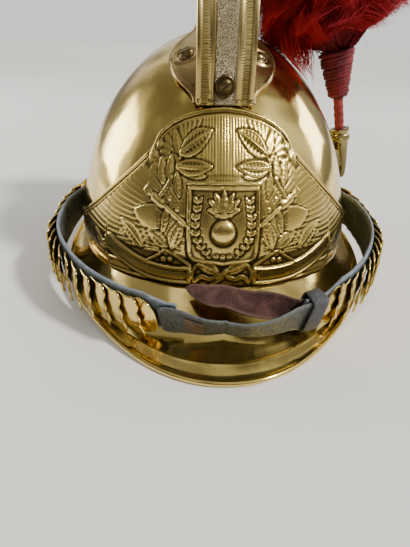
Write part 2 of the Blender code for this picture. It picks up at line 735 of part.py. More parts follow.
def crest_half_width(share):
    """Half width of the crest, even in front and narrowing to the tail."""
    taper = max(share - CREST_TAPER_START, 0.0) / (1 - CREST_TAPER_START)
    return CREST_HALF_WIDTH + (CREST_TAIL_HALF_WIDTH - CREST_HALF_WIDTH) * taper


def crest_line():
    """Rows of the crest: foot share, half width and the ridge point."""
    foot = dome_over(0.0, saddle_y(0.0)).z
    top = EQUATOR_HEIGHT + DOME_HEIGHT + CREST_HEIGHT
    return [
        (share, crest_half_width(share), Vector((0, saddle_y(along), foot + (top - foot) * up)))
        for share, along, up, lobe in CREST_STATIONS]


def make_crest():
    """Hollow comb of sheet, open below, standing on the saddle plate."""
    base_offset = SADDLE_GAP + SADDLE_SHEET + GAP
    sections = []
    for share, half, ridge in crest_line():
        y = saddle_y(share)
        outer = dome_over(half, y, base_offset)
        inner = dome_over(half - CREST_WALL, y, base_offset)
        roof = ridge + (Vector((0, y, outer.z)) - ridge).normalized() * CREST_WALL
        left = Vector((-1, 1, 1))
        sections.append([
            outer * left, ridge - Vector((half, 0, 0)), ridge + Vector((half, 0, 0)), outer,
            inner, roof + Vector((half - CREST_WALL, 0, 0)),
            roof - Vector((half - CREST_WALL, 0, 0)), inner * left])
    finish("crest", (loft(sections), "brass"))


def band_frames():
    """Points along the crest's ridge with their outward directions and half widths."""
    line = crest_line()
    frames = []
    for i, (share, half, ridge) in enumerate(line):
        after = line[min(i + 1, len(line) - 1)][2]
        before = line[max(i - 1, 0)][2]
        outward = Vector((1, 0, 0)).cross(after - before).normalized()
        frames.append((ridge + outward * BAND_GAP, outward, half + BAND_LIP))
    point, outward, half = frames[0]
    down = (point - frames[1][0]).normalized()
    return [(point + down * BAND_FOOT, outward, half)] + frames


def make_crest_band():
    """Ornamental strip up the front of the crest and along its ridge."""
    sections = []
    for point, outward, half in band_frames():
        section = [point + Vector((x * half, 0, 0)) + outward * BAND_SHEET * rise
                   for x, rise in BAND_PROFILE]
        section += [point + Vector((half, 0, 0)), point - Vector((half, 0, 0))]
        sections.append(section)
    finish("crest_band", (loft(sections), "brass"))


def make_saddle():
    """Plate under the crest that follows the dome, with a round lobe on each side in front."""
    skins = []
    for offset in (SADDLE_GAP + SADDLE_SHEET, SADDLE_GAP):
        rows = []
        for share, along, up, lobe in CREST_STATIONS:
            half = crest_half_width(share) + SADDLE_RIM + lobe * LOBE_REACH
            rows.append([dome_over(half * x, saddle_y(share), offset)
                         for x in (-1, -0.5, 0, 0.5, 1)])
        skins.append(rows)
    finish("crest_saddle", (walled(*skins), "brass"))


def make_screw(name, point, outward):
    """Dome-headed screw with a raised ring and a sawn slot."""
    profile = (
        (0, 0), (SCREW_RING_RADIUS, 0), (SCREW_RING_RADIUS, 0.35 * SCREW_HEIGHT),
        (SCREW_RADIUS, 0.40 * SCREW_HEIGHT), (0.86 * SCREW_RADIUS, 0.75 * SCREW_HEIGHT),
        (0.48 * SCREW_RADIUS, SCREW_HEIGHT), (0, SCREW_HEIGHT * 1.04))
    place = frame_along(point, outward, Vector((1, 0, 0.4)))
    screw = finish(name, (turned(profile, 12, place), "dark_brass"))
    slot = bmesh.new()
    size = Matrix.Diagonal((3 * SCREW_RADIUS, SCREW_SLOT, SCREW_HEIGHT, 1))
    lift = Matrix.Translation((0, 0, 1.2 * SCREW_HEIGHT))
    bmesh.ops.create_cube(slot, size=1.0, matrix=place @ lift @ size)
    add_boolean(screw, finish(name + "_slot", (slot, "dark_brass")), "DIFFERENCE")


def make_screws():
    """One screw through the band's foot and one in each lobe of the saddle plate."""
    low, high = band_frames()[1:3]
    middle = low[0] + (high[0] - low[0]) * FOOT_SCREW_ALONG
    make_screw("crest_screw_front", middle + low[1] * (BAND_SHEET + GAP), low[1])
    side = CREST_HALF_WIDTH + SCREW_RING_RADIUS + 2 * SEAT_GAP
    for name, x in (("crest_screw_left", side), ("crest_screw_right", -side)):
        seat = dome_over(x, saddle_y(LOBE_SCREW_ALONG), SADDLE_GAP + SADDLE_SHEET + GAP)
        make_screw(name, seat, wall_normal(seat))


def plume_axis():
    """Foot of the plume socket on the wearer's left and the direction that the plume leans in."""
    foot = wall_point(SOCKET_ANGLE, SOCKET_HEIGHT, SOCKET_STAND_OFF)
    axis = Vector((-math.sin(PLUME_LEAN), math.sin(PLUME_BACK_LEAN), math.cos(PLUME_LEAN)))
    return foot, axis.normalized()


def make_plume_socket():
    """Tapered socket with a beaded collar, a bore for the rod and a bracket to the shell."""
    foot, axis = plume_axis()
    length = SOCKET_LENGTH
    bore = ROD_RADIUS + GAP
    profile = [(0, 0)] + [(COLLAR_RADIUS * r, length * h) for r, h in SOCKET_PROFILE]
    profile += [(bore, length), (bore, length - ROD_DEPTH), (0, length - ROD_DEPTH)]
    place = frame_along(foot, axis, Vector((1, 0, 0)))
    socket = finish("plume_socket", (turned(profile, 12, place), "brass"))
    half = BRACKET_WIDTH / 2
    sections = []
    for height in (SOCKET_HEIGHT + BRACKET_RISE, SOCKET_HEIGHT + BRACKET_RISE + BRACKET_HEIGHT):
        seat = wall_point(SOCKET_ANGLE, height, SEAT_GAP)
        middle = foot + axis * ((height - foot.z) / axis.z)
        sections.append([
            seat - Vector((0, half, 0)), Vector((middle.x, middle.y - half * 0.6, height)),
            Vector((middle.x, middle.y + half * 0.6, height)), seat + Vector((0, half, 0))])
    add_boolean(socket, finish("socket_bracket", (loft(sections), "brass")), "UNION")


def make_plume():
    """Rod, cord-wound binding and the drooping feathers above it."""
    foot, axis = plume_axis()
    hint = Vector((1, 0, 0))
    start = SOCKET_LENGTH - ROD_DEPTH + GAP
    rod_top = SOCKET_LENGTH + ROD_LENGTH
    profile = ((0, start), (ROD_RADIUS, start), (ROD_RADIUS, rod_top), (0, rod_top))
    finish("plume_rod", (turned(profile, 12, frame_along(foot, axis, hint)), "red_cord"))
    base = rod_top + GAP
    profile = [(0, base)]
    for i in range(BINDING_TURNS):
        for share, swell in ((0.0, -BINDING_GROOVE), (0.5, 0.0)):
            along = (i + share) / BINDING_TURNS
            radius = BINDING_FOOT_RADIUS + (BINDING_TOP_RADIUS - BINDING_FOOT_RADIUS) * along
            profile.append((radius + swell, base + BINDING_LENGTH * along))
    top = base + BINDING_LENGTH
    profile += [(BINDING_TOP_RADIUS - BINDING_GROOVE, top), (0, top)]
    finish("plume_binding", (turned(profile, 10, frame_along(foot, axis, hint)), "red_cord"))
    make_feathers(frame_along(foot + axis * (top + GAP), axis, hint))


def make_feathers(place):
    """Mop of hanging locks in three tiers, each lock a rib with a ragged tip."""
    solid = bmesh.new()
    chance = random.Random(PLUME_SEED)
    sides = 2 * PLUME_LOCKS
    ragged = [chance.uniform(-1.0, 1.0) for _ in range(sides)]
    rings = []
    for radius, height, fringe, groove in PLUME_RINGS:
        ring = []
        for i in range(sides):
            angle = 2 * math.pi * i / sides
            hollow = 1.0 - groove * (i % 2)
            drop = fringe * (0.6 + 0.4 * ragged[i]) * (1 - i % 2)
            reach = PLUME_RADIUS * radius * hollow * (1 + 0.35 * groove * ragged[(i + 5) % sides])
            point = place @ Vector((reach * math.cos(angle), reach * math.sin(angle),
                                    PLUME_HEIGHT * (height - drop)))
            point.z = max(point.z, dome_over(point.x, point.y).z + PLUME_CLEARANCE)
            ring.append(point)
        rings.append(ring)
    made = add_grid(solid, rings, wrap=True)
    solid.faces.new(made[0])
    crown = solid.verts.new(place @ Vector((0, 0, PLUME_HEIGHT)))
    for i in range(sides):
        solid.faces.new((made[-1][i], made[-1][(i + 1) % sides], crown))
    finish("plume_feathers", (solid, "red_feather"))


class StrapRun:
    """One side of the chin strap, read by the distance from the middle of the front."""

    def __init__(self, side):
        rows = smooth_table(STRAP_STATIONS, 6)
        self.frames = [self.read_row(row, side) for row in rows]
        self.reach = [0.0]
        for before, after in zip(self.frames, self.frames[1:]):
            self.reach.append(self.reach[-1] + (after[0] - before[0]).length)
        self.side = side
        self.length = self.reach[-1]

    @staticmethod
    def read_row(row, side):
        """Lowest line of the strap with its upward and outward directions."""
        degrees, depth, beyond, climb, lean = row
        angle = math.radians(degrees)
        share = min(max(depth, 0.0), 1.0)
        outward = Vector((math.sin(angle) / (SHELL_HALF_WIDTH + SIDE_LEDGE),
                          -math.cos(angle) / (SHELL_HALF_LENGTH + PEAK_REACH), 0)).normalized()
        low = rim_point(angle, share) + Vector((0, 0, SHEET + STRAP_CLEARANCE))
        foot = low + outward * max(beyond, 0.0) * SCALE_WIDTH
        foot.z += (BOSS_HEIGHT - SCALE_WIDTH / 2 - low.z) * min(max(climb, 0.0), 1.0)
        turn = math.radians(lean)
        up = Vector((0, 0, 1)) * math.cos(turn) + outward * math.sin(turn)
        mirror = Vector((side, 1, 1))
        return foot * mirror, up * mirror, outward * mirror

    def heading(self, i):
        """Direction towards the middle of the front at one of the frames."""
        if i == 0:
            return Vector((-self.side, 0, 0))
        after = self.frames[min(i + 1, len(self.frames) - 1)][0]
        return (self.frames[i - 1][0] - after).normalized()

    def at(self, distance):
        """Foot, upward, outward and forward (to the middle) directions at a distance."""
        distance = min(max(distance, 0.0), self.length)
        i = 1
        while i < len(self.reach) - 1 and self.reach[i] < distance:
            i += 1
        share = (distance - self.reach[i - 1]) / (self.reach[i] - self.reach[i - 1])
        before, after = self.frames[i - 1], self.frames[i]
        foot, up, outward = (a + (b - a) * share for a, b in zip(before, after))
        forward = (self.heading(i - 1) * (1 - share) + self.heading(i) * share).normalized()
        up = (up - forward * up.dot(forward)).normalized()
        face = up.cross(forward).normalized()
        if face.dot(outward) < 0:
            face = -face
        return foot, up, face, forward


def strap_section(frame, low, high, back, front):
    """Rectangle across a strap: heights above its foot and distances off its middle plane."""
    foot, up, face, _ = frame
    return [foot + up * low + face * back, foot + up * high + face * back,
            foot + up * high + face * front, foot + up * low + face * front]


def make_strap_side(run, name, start):
    """Leather backing of one side, from its front end to the boss."""
    end = run.length - BOSS_STEM_RADIUS - 2 * SEAT_GAP
    low = (SCALE_WIDTH - STRAP_WIDTH) / 2
    half = STRAP_THICKNESS / 2
    sections = [
        strap_section(run.at(distance), low, low + STRAP_WIDTH, -half, half)
        for distance in spread(start, end, STRAP_SECTIONS)]
    finish(name, (loft(sections), "leather"))


def make_scale(run, name, distance, length, outline, lift):
    """Brass plate fixed at its rear edge, its free edge cut in lobes and standing off."""
    foot, up, face, forward = run.at(distance)
    seat = STRAP_THICKNESS / 2 + GAP
    skins = []
    for offset in (seat + SCALE_SHEET, seat):
        rows = []
        for free in (0, 1):
            row = []
            for across, reach, tip in outline:
                along = length * reach * free
                rise = SCALE_CROWN * (1 - (2 * across - 1) ** 2) + lift * along
                height = SCALE_WIDTH * (across + (tip if free else 0.0))
                row.append(foot + forward * along + up * height + face * (offset + rise))
            rows.append(row)
        skins.append(rows)
    finish(name, (walled(*skins), "brass"))


def make_scales(run, side_name, count, front):
    """Overlapping scales of one side and the rounded plate that ends them."""
    first = run.length - BOSS_RADIUS - SEAT_GAP
    last = front + END_PLATE_LENGTH - SCALE_OVERLAP
    pitch = (first - last) / count
    for i in range(count):
        make_scale(run, f"scale_{side_name}_{i + 1}", first - i * pitch, pitch + SCALE_OVERLAP,
                   SCALE_OUTLINE, SCALE_LIFT)
    make_scale(run, f"end_plate_{side_name}", front + END_PLATE_LENGTH, END_PLATE_LENGTH,
               END_PLATE_OUTLINE, END_PLATE_LIFT)


def make_ribbon(runs, name, rows, width, thickness, colour):
    """Leather ribbon across the front, along rows such as those of the tongue."""
    half = thickness / 2
    sections = []
    for distance, shift, rise, lean, share in rows:
        run = runs[1] if distance >= 0 else runs[0]
        foot, up, face, forward = run.at(abs(distance) * FRONT_SPAN)
        foot = foot + (face * shift + up * rise) * STRAP_WIDTH
        turn = math.radians(lean)
        leant = up * math.cos(turn) + face * math.sin(turn)
        face = face * math.cos(turn) - up * math.sin(turn)
        foot = foot + leant * width * (1 - share) / 2
        sections.append(strap_section((foot, leant, face, forward), 0.0, width * share, -half, half))
    finish(name, (loft(sections), colour))


def make_keeper(run):
    """Leather loop round the tongue, the right-hand strap and the tail."""
    low = (SCALE_WIDTH - STRAP_WIDTH) / 2 - SEAT_GAP
    high = low + STRAP_WIDTH + 2 * SEAT_GAP
    half = STRAP_THICKNESS / 2
    back = -(half + TAIL_THICKNESS + 3 * SEAT_GAP)
    front = half + TONGUE_THICKNESS + 3 * SEAT_GAP
    wall = KEEPER_WALL
    solid = bmesh.new()
    rings = []
    for distance in (KEEPER_START, KEEPER_START + KEEPER_LENGTH):
        frame = run.at(distance)
        outer = strap_section(frame, low - wall, high + wall, back - wall, front + wall)
        inner = strap_section(frame, low, high, back, front)
        rings.append([[solid.verts.new(p) for p in ring] for ring in (outer, inner)])
    for ring in (0, 1):
        stitch(solid, rings[0][ring], rings[1][ring], wrap=True)
    for end in rings:
        stitch(solid, end[0], end[1], wrap=True)
    finish("strap_keeper", (solid, "leather"))


def make_boss(name, side):
    """Plain round knob that the strap's end hangs on."""
    seat = wall_point(BOSS_ANGLE, BOSS_HEIGHT, SEAT_GAP)
    outward = wall_normal(seat)
    mirror = Vector((side, 1, 1))
    under = STRAP_THICKNESS + 4 * SEAT_GAP
    profile = (
        (0, 0), (BOSS_STEM_RADIUS, 0), (BOSS_STEM_RADIUS, under), (BOSS_RADIUS, under),
        (BOSS_RADIUS, under + 0.28 * BOSS_CROWN), (0.85 * BOSS_RADIUS, under + 0.60 * BOSS_CROWN),
        (0.45 * BOSS_RADIUS, under + 0.90 * BOSS_CROWN), (0, under + BOSS_CROWN))
    place = frame_along(seat * mirror, outward * mirror, Vector((0, 0, 1)))
    finish(name, (turned(profile, 16, place), "brass"))


def make_chin_strap():
    """Both sides, the joining tongue, the free tail, the keeper and the two bosses.

    Left and right are the wearer's.
    """
    right = StrapRun(-1)
    left = StrapRun(1)
    make_strap_side(right, "strap_right", STRAP_START_RIGHT)
    make_strap_side(left, "strap_left", STRAP_START_LEFT)
    make_scales(right, "right", SCALES_RIGHT, END_PLATE_RIGHT)
    make_scales(left, "left", SCALES_LEFT, END_PLATE_LEFT)
    runs = (right, left)
    make_ribbon(runs, "strap_tongue", TONGUE_ROWS, STRAP_WIDTH, TONGUE_THICKNESS, "leather")
    make_ribbon(runs, "strap_tail", TAIL_ROWS, TAIL_WIDTH, TAIL_THICKNESS, "brown_leather")
    make_keeper(left)
    make_boss("strap_boss_left", 1)
    make_boss("strap_boss_right", -1)


def main():
    """Build every piece of the helmet."""
    clear_scene()
    make_shell()
    make_rim()
    make_front_plate()
    make_saddle()
    make_crest()
    make_crest_band()
    make_screws()
    make_plume_socket()
    make_plume()
    make_chin_strap()


main()
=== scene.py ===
"""Looks of a brass sapper helmet: shell, stamped front plate, crest, red plume and scaled chin strap.

Metres, +Z up, the front towards -Y and the wearer's left towards +X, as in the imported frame.
"""

import logging
import math
from contextlib import contextmanager
from dataclasses import dataclass
from enum import Enum
from typing import Any, Callable, Dict, Iterator, List, Optional, Sequence, Tuple

import bmesh
import bpy
import numpy as np
from mathutils import Matrix, Vector


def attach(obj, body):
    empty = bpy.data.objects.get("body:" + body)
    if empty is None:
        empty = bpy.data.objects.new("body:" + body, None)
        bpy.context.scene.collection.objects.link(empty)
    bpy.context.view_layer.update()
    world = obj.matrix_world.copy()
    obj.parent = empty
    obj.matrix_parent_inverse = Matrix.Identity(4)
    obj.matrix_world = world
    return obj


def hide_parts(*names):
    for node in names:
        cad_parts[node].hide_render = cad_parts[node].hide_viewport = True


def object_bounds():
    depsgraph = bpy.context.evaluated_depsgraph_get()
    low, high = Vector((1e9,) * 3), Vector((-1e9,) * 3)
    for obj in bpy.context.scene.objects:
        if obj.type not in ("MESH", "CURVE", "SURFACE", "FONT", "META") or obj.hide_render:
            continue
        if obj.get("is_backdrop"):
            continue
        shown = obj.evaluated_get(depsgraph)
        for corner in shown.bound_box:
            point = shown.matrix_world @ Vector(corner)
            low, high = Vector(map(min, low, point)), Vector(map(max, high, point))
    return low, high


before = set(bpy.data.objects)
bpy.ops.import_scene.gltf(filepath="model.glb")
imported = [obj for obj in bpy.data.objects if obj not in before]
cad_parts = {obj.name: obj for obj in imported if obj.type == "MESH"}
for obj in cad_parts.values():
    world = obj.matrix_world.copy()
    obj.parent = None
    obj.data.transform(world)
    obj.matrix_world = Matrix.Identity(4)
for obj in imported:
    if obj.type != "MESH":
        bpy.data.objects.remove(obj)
CAD_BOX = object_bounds()

logging.basicConfig(level=logging.INFO, format="%(name)s: %(message)s")
LOG = logging.getLogger("sapper_helmet")

BODY = "root"
PHOTO_HEIGHT = 547
PHOTO_FOCAL = 411.0
SENSOR = 36.0
MERGE = 1e-6

Array = np.ndarray
Mesh = bpy.types.Mesh
Surface = Callable[[Array, Array], Array]
Colour = Tuple[float, float, float]
Place = Tuple[float, float, float]
Point = Tuple[float, float]
Grid = Tuple[int, int]
Row = Tuple[float, ...]
Table = Tuple[Row, ...]


def spread(start: float, stop: float, count: int) -> List[float]:
    """Return evenly spaced numbers, both ends included."""
    return [start + (stop - start) * i / (count - 1) for i in range(count)]


def smooth_rows(table: Sequence[Row], steps: int) -> List[Row]:
    """Run Catmull-Rom curves through the rows of a table.

    Args:
        table: rows of numbers.
        steps: rows to make between two rows of the table.

    Returns:
        The finer rows, the first and the last as given.
    """
    rows = []
    for i in range(len(table) - 1):
        around = [table[max(i - 1, 0)], table[i], table[i + 1], table[min(i + 2, len(table) - 1)]]
        for step in range(steps):
            t = step / steps
            rows.append(tuple(
                0.5 * (2 * b + (c - a) * t + (2 * a - 5 * b + 4 * c - d) * t * t
                       + (3 * b - a - 3 * c + d) * t ** 3)
                for a, b, c, d in zip(*around)))
    rows.append(tuple(table[-1]))
    return rows


def read_rows(table: Sequence[Row], key: Any, column: int = 1) -> Any:
    """Read a column of a table at one key or an array of keys."""
    columns = np.array([row[:column + 1] for row in table], dtype=float)
    return np.interp(key, columns[:, 0], columns[:, column])


def read_points(spot: Array, keys: Array, points: Array) -> Array:
    """Read a row of points at places between their keys."""
    return np.stack([np.interp(spot, keys, points[:, k]) for k in range(3)], axis=-1)


def unit(value: Any) -> Any:
    """Keep values between 0 and 1."""
    return np.clip(value, 0.0, 1.0)


def bell(distance: Any, width: float) -> Any:
    """Give a smooth hump about a distance of 0."""
    return np.exp(-(distance / width) ** 2)


def axis_frame(origin: Vector, axis: Vector, hint: Vector) -> Matrix:
    """Build a matrix whose Z is an axis and whose X lies near a hint.

    Args:
        origin: the matrix's origin.
        axis: direction of Z.
        hint: direction that X lies near.

    Returns:
        The matrix.
    """
    up = axis.normalized()
    across = (hint - up * hint.dot(up)).normalized()
    third = up.cross(across)
    return Matrix((
        (across.x, third.x, up.x, origin.x),
        (across.y, third.y, up.y, origin.y),
        (across.z, third.z, up.z, origin.z),
        (0, 0, 0, 1)))


class Socket:
    """Shader output that adds Math nodes where an expression uses it."""

    def __init__(self, shader: "Shader", socket: bpy.types.NodeSocket) -> None:
        """Keep the tree and the output."""
        self.shader = shader
        self.socket = socket

    def join(self, operation: str, first: Any, second: Any) -> "Socket":
        """Add one Math node."""
        node = self.shader.node("ShaderNodeMath", {"operation": operation}, {0: first, 1: second})
        return Socket(self.shader, node.outputs[0])

    def __add__(self, other: Any) -> "Socket":
        """Add."""
        return self.join("ADD", self, other)

    def __radd__(self, other: Any) -> "Socket":
        """Add, the socket on the right."""
        return self.join("ADD", other, self)

    def __sub__(self, other: Any) -> "Socket":
        """Subtract."""
        return self.join("SUBTRACT", self, other)

    def __rsub__(self, other: Any) -> "Socket":
        """Subtract, the socket on the right."""
        return self.join("SUBTRACT", other, self)

    def __mul__(self, other: Any) -> "Socket":
        """Multiply."""
        return self.join("MULTIPLY", self, other)

    def __rmul__(self, other: Any) -> "Socket":
        """Multiply, the socket on the right."""
        return self.join("MULTIPLY", other, self)

    def __pow__(self, other: Any) -> "Socket":
        """Raise to a power."""
        return self.join("POWER", self, other)

    def clamp(self) -> "Socket":
        """Keep the value between 0 and 1."""
        node = self.shader.node("ShaderNodeClamp", {}, {0: self})
        return Socket(self.shader, node.outputs[0])

    def step(self, low: float, high: float) -> "Socket":
        """Rise smoothly from 0 at one value to 1 at another."""
        node = self.shader.node(
            "ShaderNodeMapRange", {"interpolation_type": "SMOOTHSTEP", "clamp": True},
            {"Value": self, "From Min": low, "From Max": high})
        return Socket(self.shader, node.outputs[0])


class Shader:
    """Node tree of one material."""

    def __init__(self, name: str) -> None:
        """Make the material and find its shader."""
        self.material = bpy.data.materials.new(name)
        self.material.use_nodes = True
        self.tree = self.material.node_tree
        self.surface = self.tree.nodes["Principled BSDF"]

    def node(self, kind: str, settings: Dict[str, Any], inputs: Dict[Any, Any]) -> bpy.types.Node:
        """Add a node.

        Args:
            kind: the node's type.
            settings: its properties, set first.
            inputs: values or links of its sockets, by name or number.

        Returns:
            The node.
        """
        node = self.tree.nodes.new(kind)
        for name, setting in settings.items():
            setattr(node, name, setting)
        for name, value in inputs.items():
            self.feed(node.inputs[name], value)
        return node

    def feed(self, entry: bpy.types.NodeSocket, value: Any) -> None:
        """Set or link one input."""
        if isinstance(value, Socket):
            self.tree.links.new(value.socket, entry)
        elif isinstance(value, bpy.types.NodeSocket):
            self.tree.links.new(value, entry)
        elif entry.type == "RGBA":
            entry.default_value = (*value, 1.0)
        else:
            entry.default_value = value

    def stretch(self, where: bpy.types.NodeSocket, scale: Place) -> bpy.types.NodeSocket:
        """Stretch coordinates."""
        return self.node("ShaderNodeMapping", {}, {"Vector": where, "Scale": scale}).outputs[0]

    def place(self, scale: Place = (1.0, 1.0, 1.0)) -> bpy.types.NodeSocket:
        """Give object coordinates, stretched."""
        return self.stretch(self.node("ShaderNodeTexCoord", {}, {}).outputs["Object"], scale)

    def surface_map(self, scale: Place) -> bpy.types.NodeSocket:
        """Give the piece's own UV map, stretched."""
        coordinates = self.node("ShaderNodeUVMap", {"uv_map": "UVMap"}, {})
        return self.stretch(coordinates.outputs["UV"], scale)

    def noise(self, scale: float, detail: float = 4.0, where: Any = None,
              distortion: float = 0.0) -> Socket:
        """Add noise about a size.

        Args:
            scale: waves in a metre.
            detail: octaves.
            where: coordinates, the object's own if left out.
            distortion: how far the noise is pulled about.

        Returns:
            The noise, from 0 to 1.
        """
        node = self.node("ShaderNodeTexNoise", {}, {
            "Vector": where or self.place(), "Scale": scale, "Detail": detail,
            "Distortion": distortion})
        return Socket(self, node.outputs[0])

    def cells(self, scale: float) -> Socket:
        """Add the distances of a Voronoi pattern."""
        node = self.node("ShaderNodeTexVoronoi", {}, {"Vector": self.place(), "Scale": scale})
        return Socket(self, node.outputs["Distance"])

    def painted(self, name: str) -> Socket:
        """Read a number that the mesh carries at its points."""
        node = self.node("ShaderNodeAttribute", {"attribute_name": name}, {})
        return Socket(self, node.outputs["Fac"])

    def blend(self, factor: Any, first: Any, second: Any) -> bpy.types.NodeSocket:
        """Mix two colours."""
        node = self.node("ShaderNodeMix", {"data_type": "RGBA"}, {0: factor, 6: first, 7: second})
        return node.outputs[2]

    def bump(self, height: Any, strength: float, distance: float, under: Any = None) -> Any:
        """Turn a height into a normal.

        Args:
            height: the height, from 0 to 1.
            strength: share of the effect.
            distance: depth in metres.
            under: normal that it is laid on.

        Returns:
            The normal's socket.
        """
        inputs = {"Height": height, "Strength": strength, "Distance": distance}
        if under is not None:
            inputs["Normal"] = under
        return self.node("ShaderNodeBump", {}, inputs).outputs[0]

    def finish(self, **inputs: Any) -> bpy.types.Material:
        """Feed the shader's inputs, named with low lines for spaces.

        Returns:
            The material.
        """
        for name, value in inputs.items():
            self.feed(self.surface.inputs[name.replace("_", " ")], value)
        return self.material


class RoomShader(Shader):
    """Node tree of the world's background."""

    def __init__(self, world: bpy.types.World) -> None:
        """Take the world's tree and its background."""
        world.use_nodes = True
        self.tree = world.node_tree
        self.surface = self.tree.nodes["Background"]


@dataclass(frozen=True)
class Brass:
    """Polished brass with tarnish in its low places, fine scratches and dark spots; on the chin strap's
    scales the low-place mask also carries painted shade.
    """

    name: str
    bright: Colour = (0.88, 0.67, 0.22)
    deep: Colour = (0.6, 0.44, 0.11)
    tarnish: Colour = (0.085, 0.06, 0.02)
    rubbed: Colour = (0.84, 0.79, 0.64)
    polish: float = 0.13
    dull: float = 0.42
    cloud: float = 0.32
    cavity: float = 0.0
    dents: float = 0.3
    grain: float = 0.0
    punched: float = 0.0

    def material(self) -> bpy.types.Material:
        """Build the material."""
        shader = Shader(self.name)
        clouds = shader.noise(16.0, 5.0, distortion=0.6).step(0.38, 0.72)
        smears = shader.noise(60.0, 6.0, shader.place((1.0, 1.0, 0.35))).step(0.48, 0.75)
        spots = 1.0 - shader.cells(150.0).step(0.1, 0.2)
        rare = shader.noise(34.0, 2.0).step(0.58, 0.7)
        specks = spots * rare
        body = shader.blend(clouds, self.bright, self.deep)
        age = (clouds * self.cloud + smears * (0.5 * self.cloud) + specks * 0.55).clamp()
        colour = shader.blend(age * 0.75, body, self.tarnish)
        rough = self.polish + age * (self.dull - self.polish) + smears * 0.05
        if self.cavity > 0:
            # darkens by the cavity mask: tarnish in hollows, and on the scales painted shade where one
            # scale lies over the next
            low = (shader.painted("cavity") * self.cavity).clamp()
            colour = shader.blend(low, colour, self.tarnish)
            rough = rough + low * 0.28
        if self.punched > 0:
            ground = shader.painted("stipple")
            colour = shader.blend(ground * 0.6, colour, self.rubbed)
            dots = shader.cells(1750.0).step(0.25, 0.62) * ground
            colour = shader.blend(dots * 0.8, colour, self.tarnish)
            rough = rough + dots * 0.25
        waves = shader.noise(22.0, 2.0)
        normal = shader.bump(waves, self.dents, 0.004)
        lines = shader.noise(420.0, 3.0, shader.place((1.0, 0.12, 0.3)))
        normal = shader.bump(lines, 0.05, 0.0006, normal)
        if self.grain > 0:
            normal = shader.bump(shader.noise(1500.0, 2.0), self.grain, 0.0004, normal)
        if self.punched > 0:
            normal = shader.bump(dots, self.punched, 0.0005, normal)
        return shader.finish(Base_Color=colour, Roughness=rough.clamp(), Metallic=1.0, Normal=normal)


@dataclass(frozen=True)
class Leather:
    """Worn strap leather with pebbled grain, creases and pale rubbed edges."""

    name: str
    dark: Colour
    worn: Colour
    edge: Colour
    rubbed: float = 0.55
    rough: float = 0.58
    speckle: float = 0.2

    def material(self) -> bpy.types.Material:
        """Build the material."""
        shader = Shader(self.name)
        patches = shader.noise(55.0, 5.0, distortion=0.8).step(0.4, 0.66)
        fine = shader.noise(420.0, 4.0).step(0.35, 0.75)
        rub = (shader.painted("edge") * (0.55 + fine * 0.9)).clamp() * self.rubbed
        flecks = shader.noise(1350.0, 2.0).step(0.44, 0.6)
        tone = patches * (0.75 - 0.45 * self.speckle) + fine * 0.25 + flecks * (0.8 * self.speckle)
        colour = shader.blend(tone.clamp(), self.dark, self.worn)
        colour = shader.blend(rub, colour, self.edge)
        pebbles = shader.cells(720.0)
        creases = shader.noise(150.0, 5.0, shader.place((1.0, 1.0, 0.4))).step(0.42, 0.6)
        normal = shader.bump(1.0 - pebbles, 0.35, 0.0005)
        normal = shader.bump(creases, 0.3, 0.0008, normal)
        normal = shader.bump(flecks, 0.5 * self.speckle, 0.0004, normal)
        roughness = self.rough + patches * 0.14 - rub * 0.1
        return shader.finish(Base_Color=colour, Roughness=roughness.clamp(), Normal=normal)


@dataclass(frozen=True)
class Suede:
    """Napped reverse of the leather, mottled and dusty."""

    name: str
    base: Colour = (0.036, 0.011, 0.009)
    dust: Colour = (0.105, 0.044, 0.034)
    edge: Colour = (0.2, 0.12, 0.085)

    def material(self) -> bpy.types.Material:
        """Build the material."""
        shader = Shader(self.name)
        patches = shader.noise(90.0, 6.0, distortion=0.6).step(0.42, 0.66)
        nap = shader.noise(950.0, 5.0).step(0.3, 0.74)
        colour = shader.blend((patches * 0.7 + nap * 0.3).clamp(), self.base, self.dust)
        colour = shader.blend(shader.painted("edge") * 0.55, colour, self.edge)
        normal = shader.bump(nap, 0.55, 0.0005)
        normal = shader.bump(shader.noise(240.0, 4.0), 0.35, 0.0009, normal)
        return shader.finish(Base_Color=colour, Roughness=0.9, Normal=normal)


@dataclass(frozen=True)
class Feather:
    """Dyed feather barbs, each with its own tone, painted darker towards the root as shade inside the
    plume.
    """

    name: str
    root: Colour = (0.022, 0.001, 0.002)
    dye: Colour = (0.25, 0.004, 0.012)
    glow: Colour = (0.62, 0.024, 0.034)

    def material(self) -> bpy.types.Material:
        """Build the material."""
        shader = Shader(self.name)
        tone = shader.painted("tone")
        along = shader.painted("along")
        body = shader.blend(tone, self.dye, self.glow)
        # painted shade: barbs darken towards their roots, inside the plume
        colour = shader.blend((along * 1.25 + 0.02).clamp() ** 0.8, self.root, body)
        streak = shader.noise(900.0, 3.0, shader.place((1.0, 1.0, 0.2))).step(0.35, 0.7)
        colour = shader.blend(streak * 0.35, colour, self.root)
        normal = shader.bump(streak, 0.4, 0.0006)
        return shader.finish(Base_Color=colour, Roughness=0.75, Specular_IOR_Level=0.18, Normal=normal)


